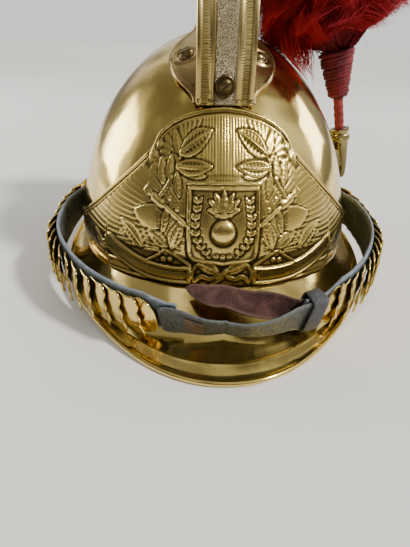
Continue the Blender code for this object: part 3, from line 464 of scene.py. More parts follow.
@dataclass(frozen=True)
class Cord:
    """Dyed twine: twisted strands seen along its own surface, painted darker in the grooves between them
    as shade.
    """

    name: str
    dark: Colour = (0.075, 0.002, 0.007)
    dye: Colour = (0.32, 0.01, 0.026)
    twist: float = 1.0

    def material(self) -> bpy.types.Material:
        """Build the material."""
        shader = Shader(self.name)
        wave = shader.node("ShaderNodeTexWave", {"bands_direction": "DIAGONAL"}, {
            "Vector": shader.surface_map((self.twist, 1.0, 1.0)), "Scale": 1.0, "Distortion": 1.5,
            "Detail": 2.0})
        strands = Socket(shader, wave.outputs["Fac"])
        fuzz = shader.noise(1400.0, 4.0).step(0.35, 0.7)
        patches = shader.noise(90.0, 4.0).step(0.4, 0.7)
        # painted shade: darker in the grooves between strands; fuzz and patches are the dye's own tone
        colour = shader.blend(
            (strands * 0.55 + fuzz * 0.3 + patches * 0.3).clamp(), self.dark, self.dye)
        normal = shader.bump(strands, 0.5, 0.0005)
        normal = shader.bump(fuzz, 0.3, 0.0003, normal)
        return shader.finish(Base_Color=colour, Roughness=0.8, Normal=normal)


class Slot(Enum):
    """Material slots of the record."""

    BRASS = "brass"
    DARK_BRASS = "dark_brass"
    LEATHER = "leather"
    BROWN_LEATHER = "brown_leather"
    RED_CORD = "red_cord"
    RED_FEATHER = "red_feather"


class Workshop:
    """Makes finished pieces and hands out the materials, each made once."""

    def __init__(self) -> None:
        """Start with no material made."""
        self.made: Dict[str, bpy.types.Material] = {}

    def material(self, finish: Any) -> bpy.types.Material:
        """Give a finish's material."""
        if finish.name not in self.made:
            self.made[finish.name] = finish.material()
        return self.made[finish.name]

    def piece(self, name: str, mesh: Mesh, finish: Any, slot: Slot,
              nodes: Sequence[str], sharp: float = 40.0) -> bpy.types.Object:
        """Turn a mesh into a piece that stands for CAD nodes.

        Args:
            name: the piece's name.
            mesh: its mesh, in place.
            finish: its finish.
            slot: the record's slot that it belongs to; not used.
            nodes: CAD nodes that it replaces.
            sharp: angle in degrees above which an edge stays sharp.

        Returns:
            The piece.
        """
        mesh.name = name
        mesh.shade_smooth()
        mesh.set_sharp_from_angle(angle=math.radians(sharp))
        mesh.materials.clear()
        mesh.materials.append(self.material(finish))
        piece = bpy.data.objects.new(name, mesh)
        bpy.context.scene.collection.objects.link(piece)
        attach(piece, BODY)
        if nodes:
            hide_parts(*nodes)
        LOG.info("%s: %d faces", name, len(mesh.polygons))
        return piece

    def solidify(self, piece: bpy.types.Object, thickness: float, offset: float = -1.0) -> None:
        """Give a sheet its thickness, towards its back."""
        wall = piece.modifiers.new("wall", "SOLIDIFY")
        wall.thickness = thickness
        wall.offset = offset
        wall.use_even_offset = False


@contextmanager
def edited(mesh: Mesh) -> Iterator[bmesh.types.BMesh]:
    """Open a mesh as a bmesh and write it back."""
    solid = bmesh.new()
    solid.from_mesh(mesh)
    yield solid
    solid.to_mesh(mesh)
    solid.free()


def to_mesh(solid: bmesh.types.BMesh) -> Mesh:
    """Close a bmesh's doubles, turn its faces outwards and make it a mesh."""
    bmesh.ops.remove_doubles(solid, verts=solid.verts, dist=MERGE)
    bmesh.ops.recalc_face_normals(solid, faces=solid.faces)
    mesh = bpy.data.meshes.new("mesh")
    solid.to_mesh(mesh)
    solid.free()
    return mesh


def mapped(columns: int, rows: int, surface: Surface,
           attributes: Optional[Dict[str, Surface]] = None,
           merge: bool = True, caps: bool = False) -> Mesh:
    """Lay a grid over a surface.

    Args:
        columns: faces along the first direction.
        rows: faces along the second direction.
        surface: gives the points of arrays of both shares, 0 to 1.
        attributes: numbers that the points carry, by name.
        merge: whether points that fall together are made one, as in a tube.
        caps: whether open ends are filled.

    Returns:
        The mesh, with a UV map of the two shares.
    """
    solid = bmesh.new()
    bmesh.ops.create_grid(solid, x_segments=columns, y_segments=rows, size=0.5, calc_uvs=True)
    mesh = bpy.data.meshes.new("mesh")
    solid.to_mesh(mesh)
    solid.free()
    flat = np.empty(len(mesh.vertices) * 3)
    mesh.vertices.foreach_get("co", flat)
    first = unit(flat[0::3] + 0.5)
    second = unit(flat[1::3] + 0.5)
    points = np.asarray(surface(first, second), dtype=float)
    mesh.vertices.foreach_set("co", points.reshape(-1))
    for name, rule in (attributes or {}).items():
        layer = mesh.attributes.new(name, "FLOAT", "POINT")
        layer.data.foreach_set("value", np.asarray(rule(first, second), dtype=float))
    mesh.update()
    if merge or caps:
        with edited(mesh) as solid:
            if merge:
                bmesh.ops.remove_doubles(solid, verts=solid.verts, dist=MERGE)
            if caps:
                open_edges = [edge for edge in solid.edges if edge.is_boundary]
                bmesh.ops.holes_fill(solid, edges=open_edges, sides=0)
            bmesh.ops.recalc_face_normals(solid, faces=solid.faces)
    return mesh


def turned(profile: Sequence[Point], steps: int, place: Matrix) -> Mesh:
    """Spin a profile of (radius, height) round Z and put it in place.

    Args:
        profile: the profile, on the axis at both ends or open.
        steps: steps of the full turn.
        place: where Z and the origin go.

    Returns:
        The mesh, closed along its seam.
    """
    solid = bmesh.new()
    verts = [solid.verts.new((radius, 0.0, height)) for radius, height in profile]
    edges = [solid.edges.new(pair) for pair in zip(verts, verts[1:])]
    bmesh.ops.spin(solid, geom=verts + edges, cent=(0, 0, 0), axis=(0, 0, 1), dvec=(0, 0, 0),
                   angle=2 * math.pi, steps=steps, use_merge=True)
    bmesh.ops.remove_doubles(solid, verts=solid.verts, dist=MERGE)
    bmesh.ops.transform(solid, matrix=place, verts=solid.verts)
    return to_mesh(solid)


@dataclass(frozen=True)
class HelmetForm:
    """Sizes of the shell and its rim, and the points and directions on them."""

    half_width: float = 0.096
    half_length: float = 0.113
    wall: float = 0.001
    equator: float = 0.022
    dome_height: float = 0.128
    power: float = 1.92
    brow: float = 0.0215
    temple: float = 0.011
    nape: float = 0.022
    side_ledge: float = 0.009
    reach: float = 0.054
    peak_taper: float = 0.058
    rim_power: float = 2.1
    side_rise: float = 0.009
    flat_share: float = 0.3
    rise_power: float = 1.6
    sheet: float = 0.0012
    bead: float = 0.0014
    border_step: float = 0.0009
    peak_hollow: float = 0.003
    guard_hollow: float = 0.006
    gap: float = 0.0003
    seat_gap: float = 0.0005

    def dome(self, angle: Any, rise: Any, offset: float = 0.0) -> Array:
        """Give points of the dome.

        Args:
            angle: angles round the shell, 0 in front.
            rise: angles above the equator, 0 to a right angle.
            offset: distance off the shell.

        Returns:
            The points.
        """
        radius = np.maximum(np.cos(rise), 0.0) ** (2 / self.power)
        height = np.sin(rise) ** (2 / self.power)
        return self.stack((self.half_width + offset) * radius * np.sin(angle),
                          -(self.half_length + offset) * radius * np.cos(angle),
                          self.equator + (self.dome_height + offset) * height)

    def side(self, angle: Any, height: Any, offset: Any = 0.0) -> Array:
        """Give points of the shell at angles and heights; the wall is upright below the equator."""
        share = unit((height - self.equator) / (self.dome_height + offset))
        radius = (1 - share ** self.power) ** (1 / self.power)
        return self.stack((self.half_width + offset) * radius * np.sin(angle),
                          -(self.half_length + offset) * radius * np.cos(angle), height)

    def over(self, x: Any, y: Any, offset: float = 0.0) -> Array:
        """Give points of the dome over places in plan."""
        plan = np.minimum(np.hypot(x / (self.half_width + offset), y / (self.half_length + offset)), 1.0)
        height = (1 - plan ** self.power) ** (1 / self.power)
        return self.stack(x, y, self.equator + (self.dome_height + offset) * height)

    def normal(self, points: Array) -> Array:
        """Give the shell's outward directions at points on or near it."""
        x = points[..., 0] / self.half_width
        y = points[..., 1] / self.half_length
        z = np.maximum(points[..., 2] - self.equator, 0.0) / self.dome_height
        plan = np.maximum(np.hypot(x, y), 1e-6) ** (self.power - 2)
        rise = np.maximum(z, 1e-6) ** (self.power - 1)
        ways = self.stack(
            plan * x / self.half_width, plan * y / self.half_length, rise / self.dome_height)
        return ways / np.linalg.norm(ways, axis=-1, keepdims=True)

    def junction(self, angle: Any) -> Any:
        """Give the height of the line where the peak or the neck guard leaves the shell."""
        end = np.where(np.cos(angle) > 0, self.brow, self.nape)
        return self.temple + (end - self.temple) * np.cos(angle) ** 2

    def rim_root(self, angle: Any) -> Array:
        """Give the rim's inner edge, against the shell."""
        return self.side(angle, self.junction(angle), self.gap)

    def rim_edge(self, angle: Any) -> Array:
        """Give the rim's outer edge."""
        beside = np.maximum(np.abs(np.sin(angle)) - self.flat_share, 0.0) / (1 - self.flat_share)
        power = 2 / self.rim_power
        taper = self.peak_taper * (np.cos(angle) > 0)
        size = 1 - taper * (np.sin(2 * angle) * np.cos(angle)) ** 2
        return self.stack(
            size * (self.half_width + self.side_ledge) * np.sign(np.sin(angle))
            * np.abs(np.sin(angle)) ** power,
            -size * (self.half_length + self.reach) * np.sign(np.cos(angle))
            * np.abs(np.cos(angle)) ** power,
            self.side_rise * beside ** self.rise_power)

    def rim(self, angle: Any, depth: Any) -> Array:
        """Give the rim's underside at shares of its depth, a little hollow between."""
        root = self.rim_root(angle)
        edge = self.rim_edge(angle)
        hollow = np.where(np.cos(angle) > 0, self.peak_hollow, self.guard_hollow)
        width = np.linalg.norm((edge - root)[..., :2], axis=-1)
        drop = hollow * np.sin(np.pi * np.minimum(depth, 1.0)) * np.minimum(width / self.reach, 1.0)
        depth = np.asarray(depth, dtype=float)
        points = root + (edge - root) * depth[..., None]
        points[..., 2] -= drop
        return points

    @staticmethod
    def stack(x: Any, y: Any, z: Any) -> Array:
        """Join three arrays of coordinates."""
        x, y, z = np.broadcast_arrays(np.asarray(x, dtype=float), y, z)
        return np.stack((x, y, z), axis=-1)

    def foot_line(self, share: Any) -> Any:
        """Give the place in depth along the crest's foot line, from its front foot to its tail."""
        front = -self.half_length * 0.682
        return front + (self.half_length * 0.85 - front) * share


@dataclass
class Shell:
    """The raised dome of polished brass."""

    form: HelmetForm
    shop: Workshop
    around: int = 160
    up: int = 60
    finish: Brass = Brass("brass_shell", polish=0.1, cloud=0.26, dents=0.34)

    def surface(self, first: Array, second: Array) -> Array:
        """Give the dome's points: a short skirt, then the dome."""
        angle = 2 * np.pi * first
        skirt = 0.08
        rise = unit((second - skirt) / (1 - skirt)) * np.pi / 2
        points = self.form.dome(angle, rise)
        low = self.form.junction(angle) - self.form.sheet
        share = unit(second / skirt)
        points[..., 2] = np.where(
            second < skirt, low + (self.form.equator - low) * share, points[..., 2])
        return points

    def build(self) -> None:
        """Build the shell."""
        piece = self.shop.piece("helmet_shell", mapped(self.around, self.up, self.surface),
                                self.finish, Slot.BRASS, ["shell"])
        self.shop.solidify(piece, self.form.wall)


class RimEnd(Enum):
    """The two halves of the rim."""

    PEAK = 0.0
    NECK_GUARD = math.pi


@dataclass
class Rim:
    """Peak and neck guard, each a sheet with a stepped border and a rolled edge."""

    form: HelmetForm
    shop: Workshop
    around: int = 150
    # share of the peak's depth, rise in border steps
    lip: Tuple[Point, ...] = (
        (0.0, 0.0), (0.18, 0.0), (0.36, 0.0), (0.54, 0.0), (0.7, 0.0), (0.775, 0.0), (0.785, 0.15),
        (0.795, 0.8), (0.803, 1.0), (0.812, 0.98), (0.825, 0.84), (0.84, 0.74), (0.87, 0.6),
        (0.91, 0.44), (0.95, 0.3),
    )
    plain: Tuple[Point, ...] = (
        (0.0, 0.0), (0.12, 0.0), (0.24, 0.0), (0.36, 0.0), (0.48, 0.0), (0.6, 0.0), (0.72, 0.0),
        (0.84, 0.0), (0.9, 0.0), (0.93, 0.05), (0.95, 0.1),
    )
    finish: Brass = Brass("brass_rim", polish=0.12, cloud=0.38, dents=0.4)

    def ring(self, end: RimEnd) -> List[Tuple[str, float, float]]:
        """List the stations round the sheet's section."""
        top = self.lip if end is RimEnd.PEAK else self.plain
        stations = [("top", depth, lift) for depth, lift in top]
        stations += [("bead", turn, 0.0) for turn in spread(0.62 * math.pi, -0.72 * math.pi, 13)]
        stations += [("under", depth, 0.0) for depth in spread(0.94, 0.0, 9)]
        stations.append(stations[0])
        return stations

    def surface(self, end: RimEnd) -> Surface:
        """Give the mapping of one half."""
        stations = self.ring(end)
        last = len(stations) - 1
        inset = 0.5 * self.form.gap / (self.form.half_width + self.form.side_ledge)

        def points(first: Array, second: Array) -> Array:
            """Place the grid's points round the section and along the rim."""
            angle = (first - 0.5) * (math.pi - 2 * inset) + end.value
            edge = self.form.rim_edge(angle)
            outward = edge - self.form.rim_root(angle)
            outward[..., 2] = 0.0
            outward /= np.linalg.norm(outward, axis=-1, keepdims=True)
            centre = edge + np.array((0.0, 0.0, self.form.bead))
            index = np.rint(second * last).astype(int)
            made = np.zeros(angle.shape + (3,))
            for place, (kind, value, lift) in enumerate(stations):
                here = index == place
                if kind == "bead":
                    spot = centre[here] + outward[here] * self.form.bead * math.cos(value)
                    spot[..., 2] += self.form.bead * math.sin(value)
                else:
                    spot = self.form.rim(angle[here], np.full(int(here.sum()), value))
                    if kind == "top":
                        spot[..., 2] += self.form.sheet + lift * self.form.border_step
                made[here] = spot
            return made

        return points

    def build(self) -> None:
        """Build both halves."""
        for end, name, node in ((RimEnd.PEAK, "peak_sheet", "peak"),
                                (RimEnd.NECK_GUARD, "neck_guard_sheet", "neck_guard")):
            mesh = mapped(self.around, len(self.ring(end)) - 1, self.surface(end), caps=True)
            self.shop.piece(name, mesh, self.finish, Slot.BRASS, [node], sharp=50.0)


def rounded(distance: Array, width: float) -> Array:
    """Give a half-round ridge of a width from distances to its line."""
    return np.sqrt(unit(1 - (2 * distance / width) ** 2))


class Relief:
    """Heights of a stamping, laid motif by motif over places in millimetres."""

    def __init__(self, s: Array, t: Array) -> None:
        """Start flat.

        Args:
            s: places across from the middle.
            t: places up from the foot.
        """
        self.s = s
        self.t = t
        self.a = np.abs(s)
        self.h = np.zeros_like(s)

    def stroke(self, path: Sequence[Point], both: bool = True) -> Array:
        """Give the distance to a line through a path.

        Args:
            path: the path's points.
            both: whether it is mirrored, as in every motif.

        Returns:
            The distances.
        """
        s, t = self.a if both else self.s, self.t
        best = np.full(s.shape, 1e3)
        for (x0, y0), (x1, y1) in zip(path, path[1:]):
            dx, dy = x1 - x0, y1 - y0
            share = unit(((s - x0) * dx + (t - y0) * dy) / max(dx * dx + dy * dy, 1e-9))
            best = np.minimum(best, np.hypot(s - x0 - share * dx, t - y0 - share * dy))
        return best

    def lay(self, inside: Array, level: Any, soft: float = 0.35, moat: float = 0.22) -> None:
        """Lay a motif over the ground with a narrow groove round it.

        Args:
            inside: distance inside the motif's outline, negative outside.
            level: the motif's own heights.
            soft: width of the slope at the outline.
            moat: depth of the groove.
        """
        mask = unit(inside / soft + 0.5)
        mask = mask * mask * (3 - 2 * mask)
        ditch = moat * bell(inside + 0.55, 0.4)
        self.h = (self.h - ditch) * (1 - mask) + level * mask

    def leaf(self, base: Point, tip: Point, width: float, rise: float, bend: float = 0.0,
             both: bool = True) -> None:
        """Lay one laurel leaf with a rim, a midrib and veins.

        Args:
            base: the leaf's foot.
            tip: its point.
            width: its greatest width.
            rise: its height.
            bend: how far its middle swings aside.
            both: whether it is mirrored.
        """
        s, t = self.a if both else self.s, self.t
        length = math.hypot(tip[0] - base[0], tip[1] - base[1])
        cosine, sine = (tip[0] - base[0]) / length, (tip[1] - base[1]) / length
        along = ((s - base[0]) * cosine + (t - base[1]) * sine) / length
        aside = -(s - base[0]) * sine + (t - base[1]) * cosine
        aside = aside - bend * np.sin(np.pi * unit(along))
        shape = np.sin(np.pi * unit(along) ** 0.85)
        half = 0.5 * width * np.maximum(shape, 0.0) ** 0.85
        past = np.maximum(np.maximum(-along, along - 1.0), 0.0) * length
        inside = np.where(past > 0.0, -np.hypot(past, aside), half - np.abs(aside))
        share = unit(np.abs(aside) / np.maximum(half, 0.05))
        rim = bell(np.abs(aside) - half + 0.45, 0.36)
        rib = bell(aside, 0.3 + 0.06 * width) * unit(1.25 - along)
        veins = 0.5 + 0.5 * np.cos(2 * np.pi * (along * length / 2.4 - share * 0.9))
        level = rise * (0.62 - 0.4 * np.sin(np.pi * share) + 0.44 * rim + 0.66 * rib
                        + 0.22 * veins * (share > 0.15) * (share < 0.8))
        self.lay(inside, level, moat=0.45)

    def ball(self, centre: Point, radius: float, rise: float, both: bool = True) -> None:
        """Lay a round boss."""
        distance = np.hypot((self.a if both else self.s) - centre[0], self.t - centre[1])
        self.lay(radius - distance, rise * np.sqrt(unit(1 - (distance / radius) ** 2)), 0.3)

    def ridge(self, path: Sequence[Point], width: float, rise: float, both: bool = True) -> None:
        """Lay a half-round ridge along a smooth path."""
        distance = self.stroke(smooth_rows(path, 5), both)
        self.lay(0.5 * width - distance, rise * rounded(distance, width), 0.25)


def hatch(phase: Array, sharp: float = 0.8) -> Array:
    """Give reeds side by side from a phase in turns."""
    return np.abs(np.cos(np.pi * phase)) ** sharp


@dataclass
class FrontPlate:
    """Stamped plate: shield and grenade between laurel, axes, banners, reeds and rays.

    The relief is drawn in millimetres, across from the middle and up from the plate's foot.
    """

    form: HelmetForm
    shop: Workshop
    span: float = math.radians(73.0)
    top_gap: float = 0.0002
    sheet: float = 0.001
    columns: int = 330
    rows: int = 210
    relief: float = 0.0023
    tallest: float = 2.3
    arc_width: float = 125.6
    # share of the half span, share of the height
    top_edge: Table = (
        (0.0, 1.0), (0.12, 0.99), (0.233, 0.963), (0.3, 0.932), (0.342, 0.9), (0.366, 0.866),
        (0.378, 0.815), (0.39, 0.79), (0.459, 0.711), (0.575, 0.589), (0.712, 0.459), (0.88, 0.325),
        (1.0, 0.29),
    )
    lower_edge: Table = ((0.0, 0.0), (0.6, 0.0), (0.615, 0.1), (0.75, 0.13), (1.0, 0.14))
    # millimetres across and up, here and in the tables below
    banner_path: Tuple[Point, ...] = ((17.8, 6.4), (31.0, 6.0), (45.0, 7.6), (60.0, 12.4), (74.0, 18.4))
    # path, width, rise
    stems: Tuple[Tuple[Tuple[Point, ...], float, float], ...] = (
        (((31.0, 24.0), (36.0, 17.5), (44.0, 12.5)), 1.5, 0.5),
        (((17.8, 12.0), (26.0, 17.0), (36.0, 21.5), (50.0, 24.5), (64.0, 26.5)), 1.5, 0.55),
        (((28.5, 58.0), (29.5, 63.0), (27.5, 69.5)), 1.6, 0.6),
    )
    # foot, tip, width, rise, bend
    leaves: Tuple[Tuple[Point, Point, float, float, float], ...] = (
        ((46.8, 19.6), (64.5, 34.0), 9.0, 0.85, 1.0), ((31.3, 21.5), (44.5, 30.2), 7.0, 0.8, 0.6),
        ((29.0, 20.5), (23.2, 37.5), 7.6, 0.85, -0.8), ((33.0, 33.0), (42.5, 43.6), 4.6, 0.65, 0.0),
        ((35.0, 29.0), (32.4, 43.8), 4.0, 0.7, 0.0), ((29.5, 59.5), (25.8, 47.5), 4.4, 0.6, 0.0),
        ((36.6, 54.0), (40.5, 67.4), 5.6, 0.75, 0.0), ((33.4, 56.0), (34.0, 68.6), 4.6, 0.65, 0.0),
        ((27.0, 67.0), (35.5, 80.2), 5.0, 0.55, 0.0), ((27.5, 61.0), (11.0, 57.8), 4.8, 0.7, 0.0),
        ((30.2, 62.8), (7.2, 62.6), 7.4, 1.0, 0.7), ((28.4, 68.2), (8.4, 79.2), 10.6, 1.1, -0.5),
    )
    # middle, radius
    berries: Tuple[Tuple[Point, float], ...] = (
        ((43.7, 22.9), 1.4), ((33.6, 14.6), 1.5), ((29.9, 14.9), 1.4), ((25.0, 21.6), 1.3),
        ((53.0, 20.4), 1.3), ((39.5, 36.5), 1.2), ((26.8, 42.0), 1.2), ((31.6, 47.2), 1.3),
        ((22.6, 26.5), 1.2),
    )
    twig: Tuple[Point, ...] = (
        (9.4, 18.4), (12.2, 21.2), (14.4, 24.6), (15.6, 28.6), (16.0, 32.8), (15.8, 37.0),
        (15.2, 41.2), (14.8, 45.4),
    )
    # degrees from upright, reach
    flames: Tuple[Point, ...] = (
        (-84.0, 9.4), (84.0, 9.4), (-58.0, 10.6), (58.0, 10.6), (-32.0, 10.8), (32.0, 10.8),
        (0.0, 11.2),
    )
    finish: Brass = Brass(
        "brass_stamped", bright=(0.86, 0.65, 0.21), tarnish=(0.05, 0.034, 0.01), polish=0.2, dull=0.46,
        cloud=0.22, cavity=1.0, dents=0.05, grain=0.1)

    def height(self) -> float:
        """Give the plate's height, from the peak to just under the crest's foot."""
        foot = float(self.form.junction(0.0)) + self.form.sheet + self.form.seat_gap
        return float(self.form.over(0.0, self.form.foot_line(0.0))[2]) - foot - self.top_gap

    def place(self, across: Array, up: Array, offset: Any) -> Array:
        """Give points over the plate at shares of its half span and of its height."""
        angle = across * self.span
        foot = self.form.junction(angle) + self.form.sheet + self.form.seat_gap
        return self.form.side(angle, foot + up * self.height(), offset)

    def shares(self, first: Array, second: Array) -> Tuple[Array, Array]:
        """Turn the grid's shares into shares of the plate, closer set in the middle."""
        signed = 2 * first - 1
        across = np.sign(signed) * (0.66 * np.abs(signed) + 0.34 * np.abs(signed) ** 4)
        low = read_rows(self.lower_edge, np.abs(across))
        high = read_rows(self.top_edge, np.abs(across))
        return across, low + (high - low) * second

    def ground(self, relief: Relief) -> None:
        """Lay the ground: reeds fanned over the shield, rays in the wings."""
        s, t, a = relief.s, relief.t, relief.a
        fan = s / (1 + 0.0075 * (t - 54.0))
        reeds = 0.55 * hatch(fan / 1.7)
        reeds += 0.16 * hatch(fan / 6.8) * (a < 6.5)
        turn = np.degrees(np.arctan2(t - 66.0, a - 24.0))
        top = np.where(np.abs(fan) < 12.5, reeds, 0.42 * hatch(turn / 11.0))
        top = np.where((t < 58.5) & (a < 24.0), 0.42 * hatch(s / 1.75), top)
        swing = np.degrees(np.arctan2(t - 20.0, a + 2.0)) + 1.1 * np.sin(a / 9.0)
        rays = 0.52 * hatch(swing / 2.5, 0.9)
        wing = unit((a - 20.0) / 2.0) * (t < 74.0)
        over = (t > 53.0) & (a < 41.0) & (t > 53.0 + 0.5 * (a - 24.0))
        relief.h = np.where(over, top, rays * wing) * unit((t - 13.5 - 0.1 * a) / 2.0)

    def borders(self, relief: Relief) -> None:
        """Lay the double bead under the top edge."""
        high = 1e3 * self.height()
        distance = relief.stroke([(a * self.arc_width, u * high) for a, u in self.top_edge])
        arc = relief.a < 0.383 * self.arc_width
        outer = np.where(distance < 2.4, rounded(distance - 1.2, 2.2) * 1.15, 0.0)
        inner = rounded(np.abs(distance - np.where(arc, 3.7, 3.5)), 1.3) * 0.8
        relief.h = np.where(distance < 4.3, np.maximum(outer, inner), relief.h)

    def sprays(self, relief: Relief) -> None:
        """Lay the laurel's stems, leaves and berries."""
        for path, width, rise in self.stems:
            relief.ridge(path, width, rise)
        for leaf in self.leaves:
            relief.leaf(*leaf)
        for centre, radius in self.berries:
            relief.ball(centre, radius, 0.75)

    def axes(self, relief: Relief) -> None:
        """Lay the crossed axes' shafts, sockets and polished blades."""
        a, t = relief.a, relief.t
        relief.ridge(((20.5, 33.6), (34.0, 43.0), (48.0, 51.2)), 2.0, 0.9)
        blade = 14.6 - np.hypot(a - 40.6, t - 45.0)
        blade = np.minimum(blade, 44.4 - t - (a - 40.6) * 0.24 - 0.016 * (a - 47.0) ** 2)
        blade = np.minimum(blade, (a - 38.6) + (44.0 - t) * 0.2 - 0.012 * (t - 38.0) ** 2)
        relief.lay(blade, 0.78, 0.5, 0.3)
        relief.ridge(((36.4, 44.2), (41.6, 47.4)), 4.6, 0.95)
        pick = relief.stroke(((38.0, 48.0), (34.2, 53.0), (32.0, 57.2)))
        relief.lay(1.0 - pick, 0.7 * rounded(pick, 2.2), 0.3)

    def banners(self, relief: Relief) -> None:
        """Lay the lower strip and the bare banner in front of it."""
        a, t = relief.a, relief.t
        strip = np.minimum(np.minimum(a - 19.0, 84.0 - a), np.minimum(t - 1.0, 9.2 - t))
        relief.lay(strip, 0.1, 0.5, 0.2)
        line = rounded(np.abs(strip - 0.8), 1.6) * (strip > -0.2)
        relief.h = np.maximum(relief.h, 0.8 * line)
        distance = relief.stroke(smooth_rows(self.banner_path, 6))
        inside = np.minimum(5.1 - distance, a - 17.4)
        inside = np.minimum(inside, 77.0 - a + 0.45 * (t - 17.0))
        level = 0.35 + 0.22 * np.cos(unit(distance / 5.0) * np.pi / 2)
        level = level + 0.9 * rounded(np.abs(inside - 0.85), 1.7)
        relief.lay(inside, level, 0.4, 0.6)
        flat = relief.h
        relief.ridge(((75.0, 20.5), (79.0, 16.0), (84.0, 18.0), (89.0, 22.0)), 3.0, 0.8)
        relief.ridge(((77.5, 14.0), (82.0, 13.6), (87.0, 17.0)), 2.2, 0.6)
        relief.h = np.where(a > 72.0, np.maximum(flat, relief.h), flat)

    def shield(self, relief: Relief) -> None:
        """Lay the framed shield with its grenade, flames and laurel."""
        a, t = relief.a, relief.t
        side = np.interp(t, (13.0, 15.4, 17.5, 20.5, 53.5), (10.0, 16.6, 19.0, 19.9, 21.3))
        low = 14.2 - 1.4 * unit(1 - a / 8.0)
        inside = np.minimum(np.minimum(side - a, 53.6 - t), t - low)
        frame_line = rounded(np.abs(inside - 0.75), 1.5) * (inside > -0.1)
        relief.lay(inside, 0.16 + 0.02 * np.cos(relief.s / 5.0), 0.4, 0.35)
        on_frame = (inside > -0.1) & (inside < 1.6)
        relief.h = np.where(on_frame, np.maximum(0.16, 1.15 * frame_line), relief.h)
        upper = (t > 54.2) & (t < 56.0) & (a < 22.0)
        relief.h = np.where(upper, 0.75 * rounded(np.abs(t - 55.0), 1.5), relief.h)
        for way, (x, y) in enumerate(self.twig):
            lean = 1 if way % 2 else -1
            relief.leaf((x, y), (x + 2.6 * lean + 0.3, y + 3.4), 2.3, 0.55)
            relief.leaf((x, y), (x - 2.4 * lean, y + 3.2), 2.0, 0.5)
        relief.ridge(((7.5, 17.2), (12.0, 21.0), (15.2, 28.0), (15.8, 38.0), (14.8, 47.0)), 0.8, 0.42)
        relief.ball((0.0, 17.6), 1.5, 0.5, False)
        relief.ball((3.6, 17.9), 1.4, 0.5)
        for turn, reach in self.flames:
            lean, up = math.sin(math.radians(turn)), math.cos(math.radians(turn))
            relief.leaf((lean * 1.0, 40.2 + up), (lean * reach, 41.4 + reach * up), 3.6, 0.95,
                        0.6 * lean, False)
        relief.ball((0.0, 40.4), 1.7, 1.0, False)
        relief.ridge(((-1.6, 37.4), (1.6, 37.4)), 1.4, 0.9, False)
        relief.ridge(((-4.2, 39.6), (0.0, 38.9), (4.2, 39.6)), 1.7, 1.0, False)
        relief.ball((0.0, 30.6), 6.7, self.tallest, False)

    def knot(self, relief: Relief) -> None:
        """Lay the ribbon knot under the shield."""
        relief.leaf((1.5, 8.0), (14.6, 13.6), 6.4, 0.8, 0.8)
        relief.ridge(((1.5, 7.4), (7.0, 4.6), (11.5, 6.0), (15.6, 2.6)), 2.6, 0.55)
        relief.ridge(((13.8, 13.4), (16.6, 9.0), (16.4, 3.4)), 1.4, 0.6)
        relief.ridge(((-2.0, 5.4), (2.4, 9.8)), 2.8, 0.95, False)
        relief.ridge(((0.0, 5.6), (-5.4, 1.6)), 2.4, 0.55, False)

    def heights(self, across: Array, up: Array) -> Array:
        """Give the relief's heights, in shares of its greatest."""
        relief = Relief(across * self.arc_width, up * 1e3 * self.height())
        for motif in (self.ground, self.banners, self.sprays, self.axes, self.borders):
            motif(relief)
        relief.ball((46.4, 67.6), 3.4, 1.2)
        relief.ball((43.4, 72.4), 2.4, 0.95)
        self.shield(relief)
        self.knot(relief)
        return relief.h

    def stamp(self) -> Array:
        """Work out the relief once over the grid, its edges softened as a stamping's are."""
        second, first = np.meshgrid(np.linspace(0.0, 1.0, self.rows + 1),
                                    np.linspace(0.0, 1.0, self.columns + 1), indexing="ij")
        image = self.heights(*self.shares(first, second))
        for axis in (0, 1):
            image = 0.25 * np.roll(image, -1, axis) + 0.5 * image + 0.25 * np.roll(image, 1, axis)
        return image

    def pick(self, image: Array, first: Array, second: Array) -> Array:
        """Read a grid's values at its own points."""
        return image[np.rint(second * self.rows).astype(int), np.rint(first * self.columns).astype(int)]

    def surface(self, first: Array, second: Array) -> Array:
        """Give the stamped face's points."""
        across, up = self.shares(first, second)
        raised = self.pick(self.stamped, first, second) * self.relief / self.tallest
        edge = np.minimum(
            np.minimum(second, 1 - second) * self.rows, np.minimum(first, 1 - first) * self.columns)
        raised = raised * unit(0.5 * edge)
        flat = self.place(across, up, self.form.seat_gap + self.sheet)
        return flat + self.form.normal(flat) * raised[..., None]

    def cavity(self, first: Array, second: Array) -> Array:
        """Give how deep each point lies beside its neighbours, for the tarnish."""
        image = self.stamped
        blurred = image
        for _ in range(2):
            for axis in (0, 1):
                blurred = sum(np.roll(blurred, step, axis) for step in range(-3, 4)) / 7.0
        deep = unit((blurred - image) * 5.5) + np.clip(0.22 - image, 0.0, 0.22) * 2.6
        return self.pick(unit(deep), first, second)

    def build(self) -> None:
        """Build the plate: the stamped face, then its edges turned back."""
        self.stamped = self.stamp()
        mesh = mapped(self.columns, self.rows, self.surface, {"cavity": self.cavity}, merge=False)
        with edited(mesh) as solid:
            bmesh.ops.recalc_face_normals(solid, faces=solid.faces)
            rim = [edge for edge in solid.edges if edge.is_boundary]
            made = bmesh.ops.extrude_edge_only(solid, edges=rim)
            for vert in (item for item in made["geom"] if isinstance(item, bmesh.types.BMVert)):
                point = np.array(vert.co)
                vert.co = Vector(point - self.form.normal(point) * self.sheet)
        self.shop.piece("front_plate_stamped", mesh, self.finish, Slot.BRASS, ["front_plate"], 70.0)


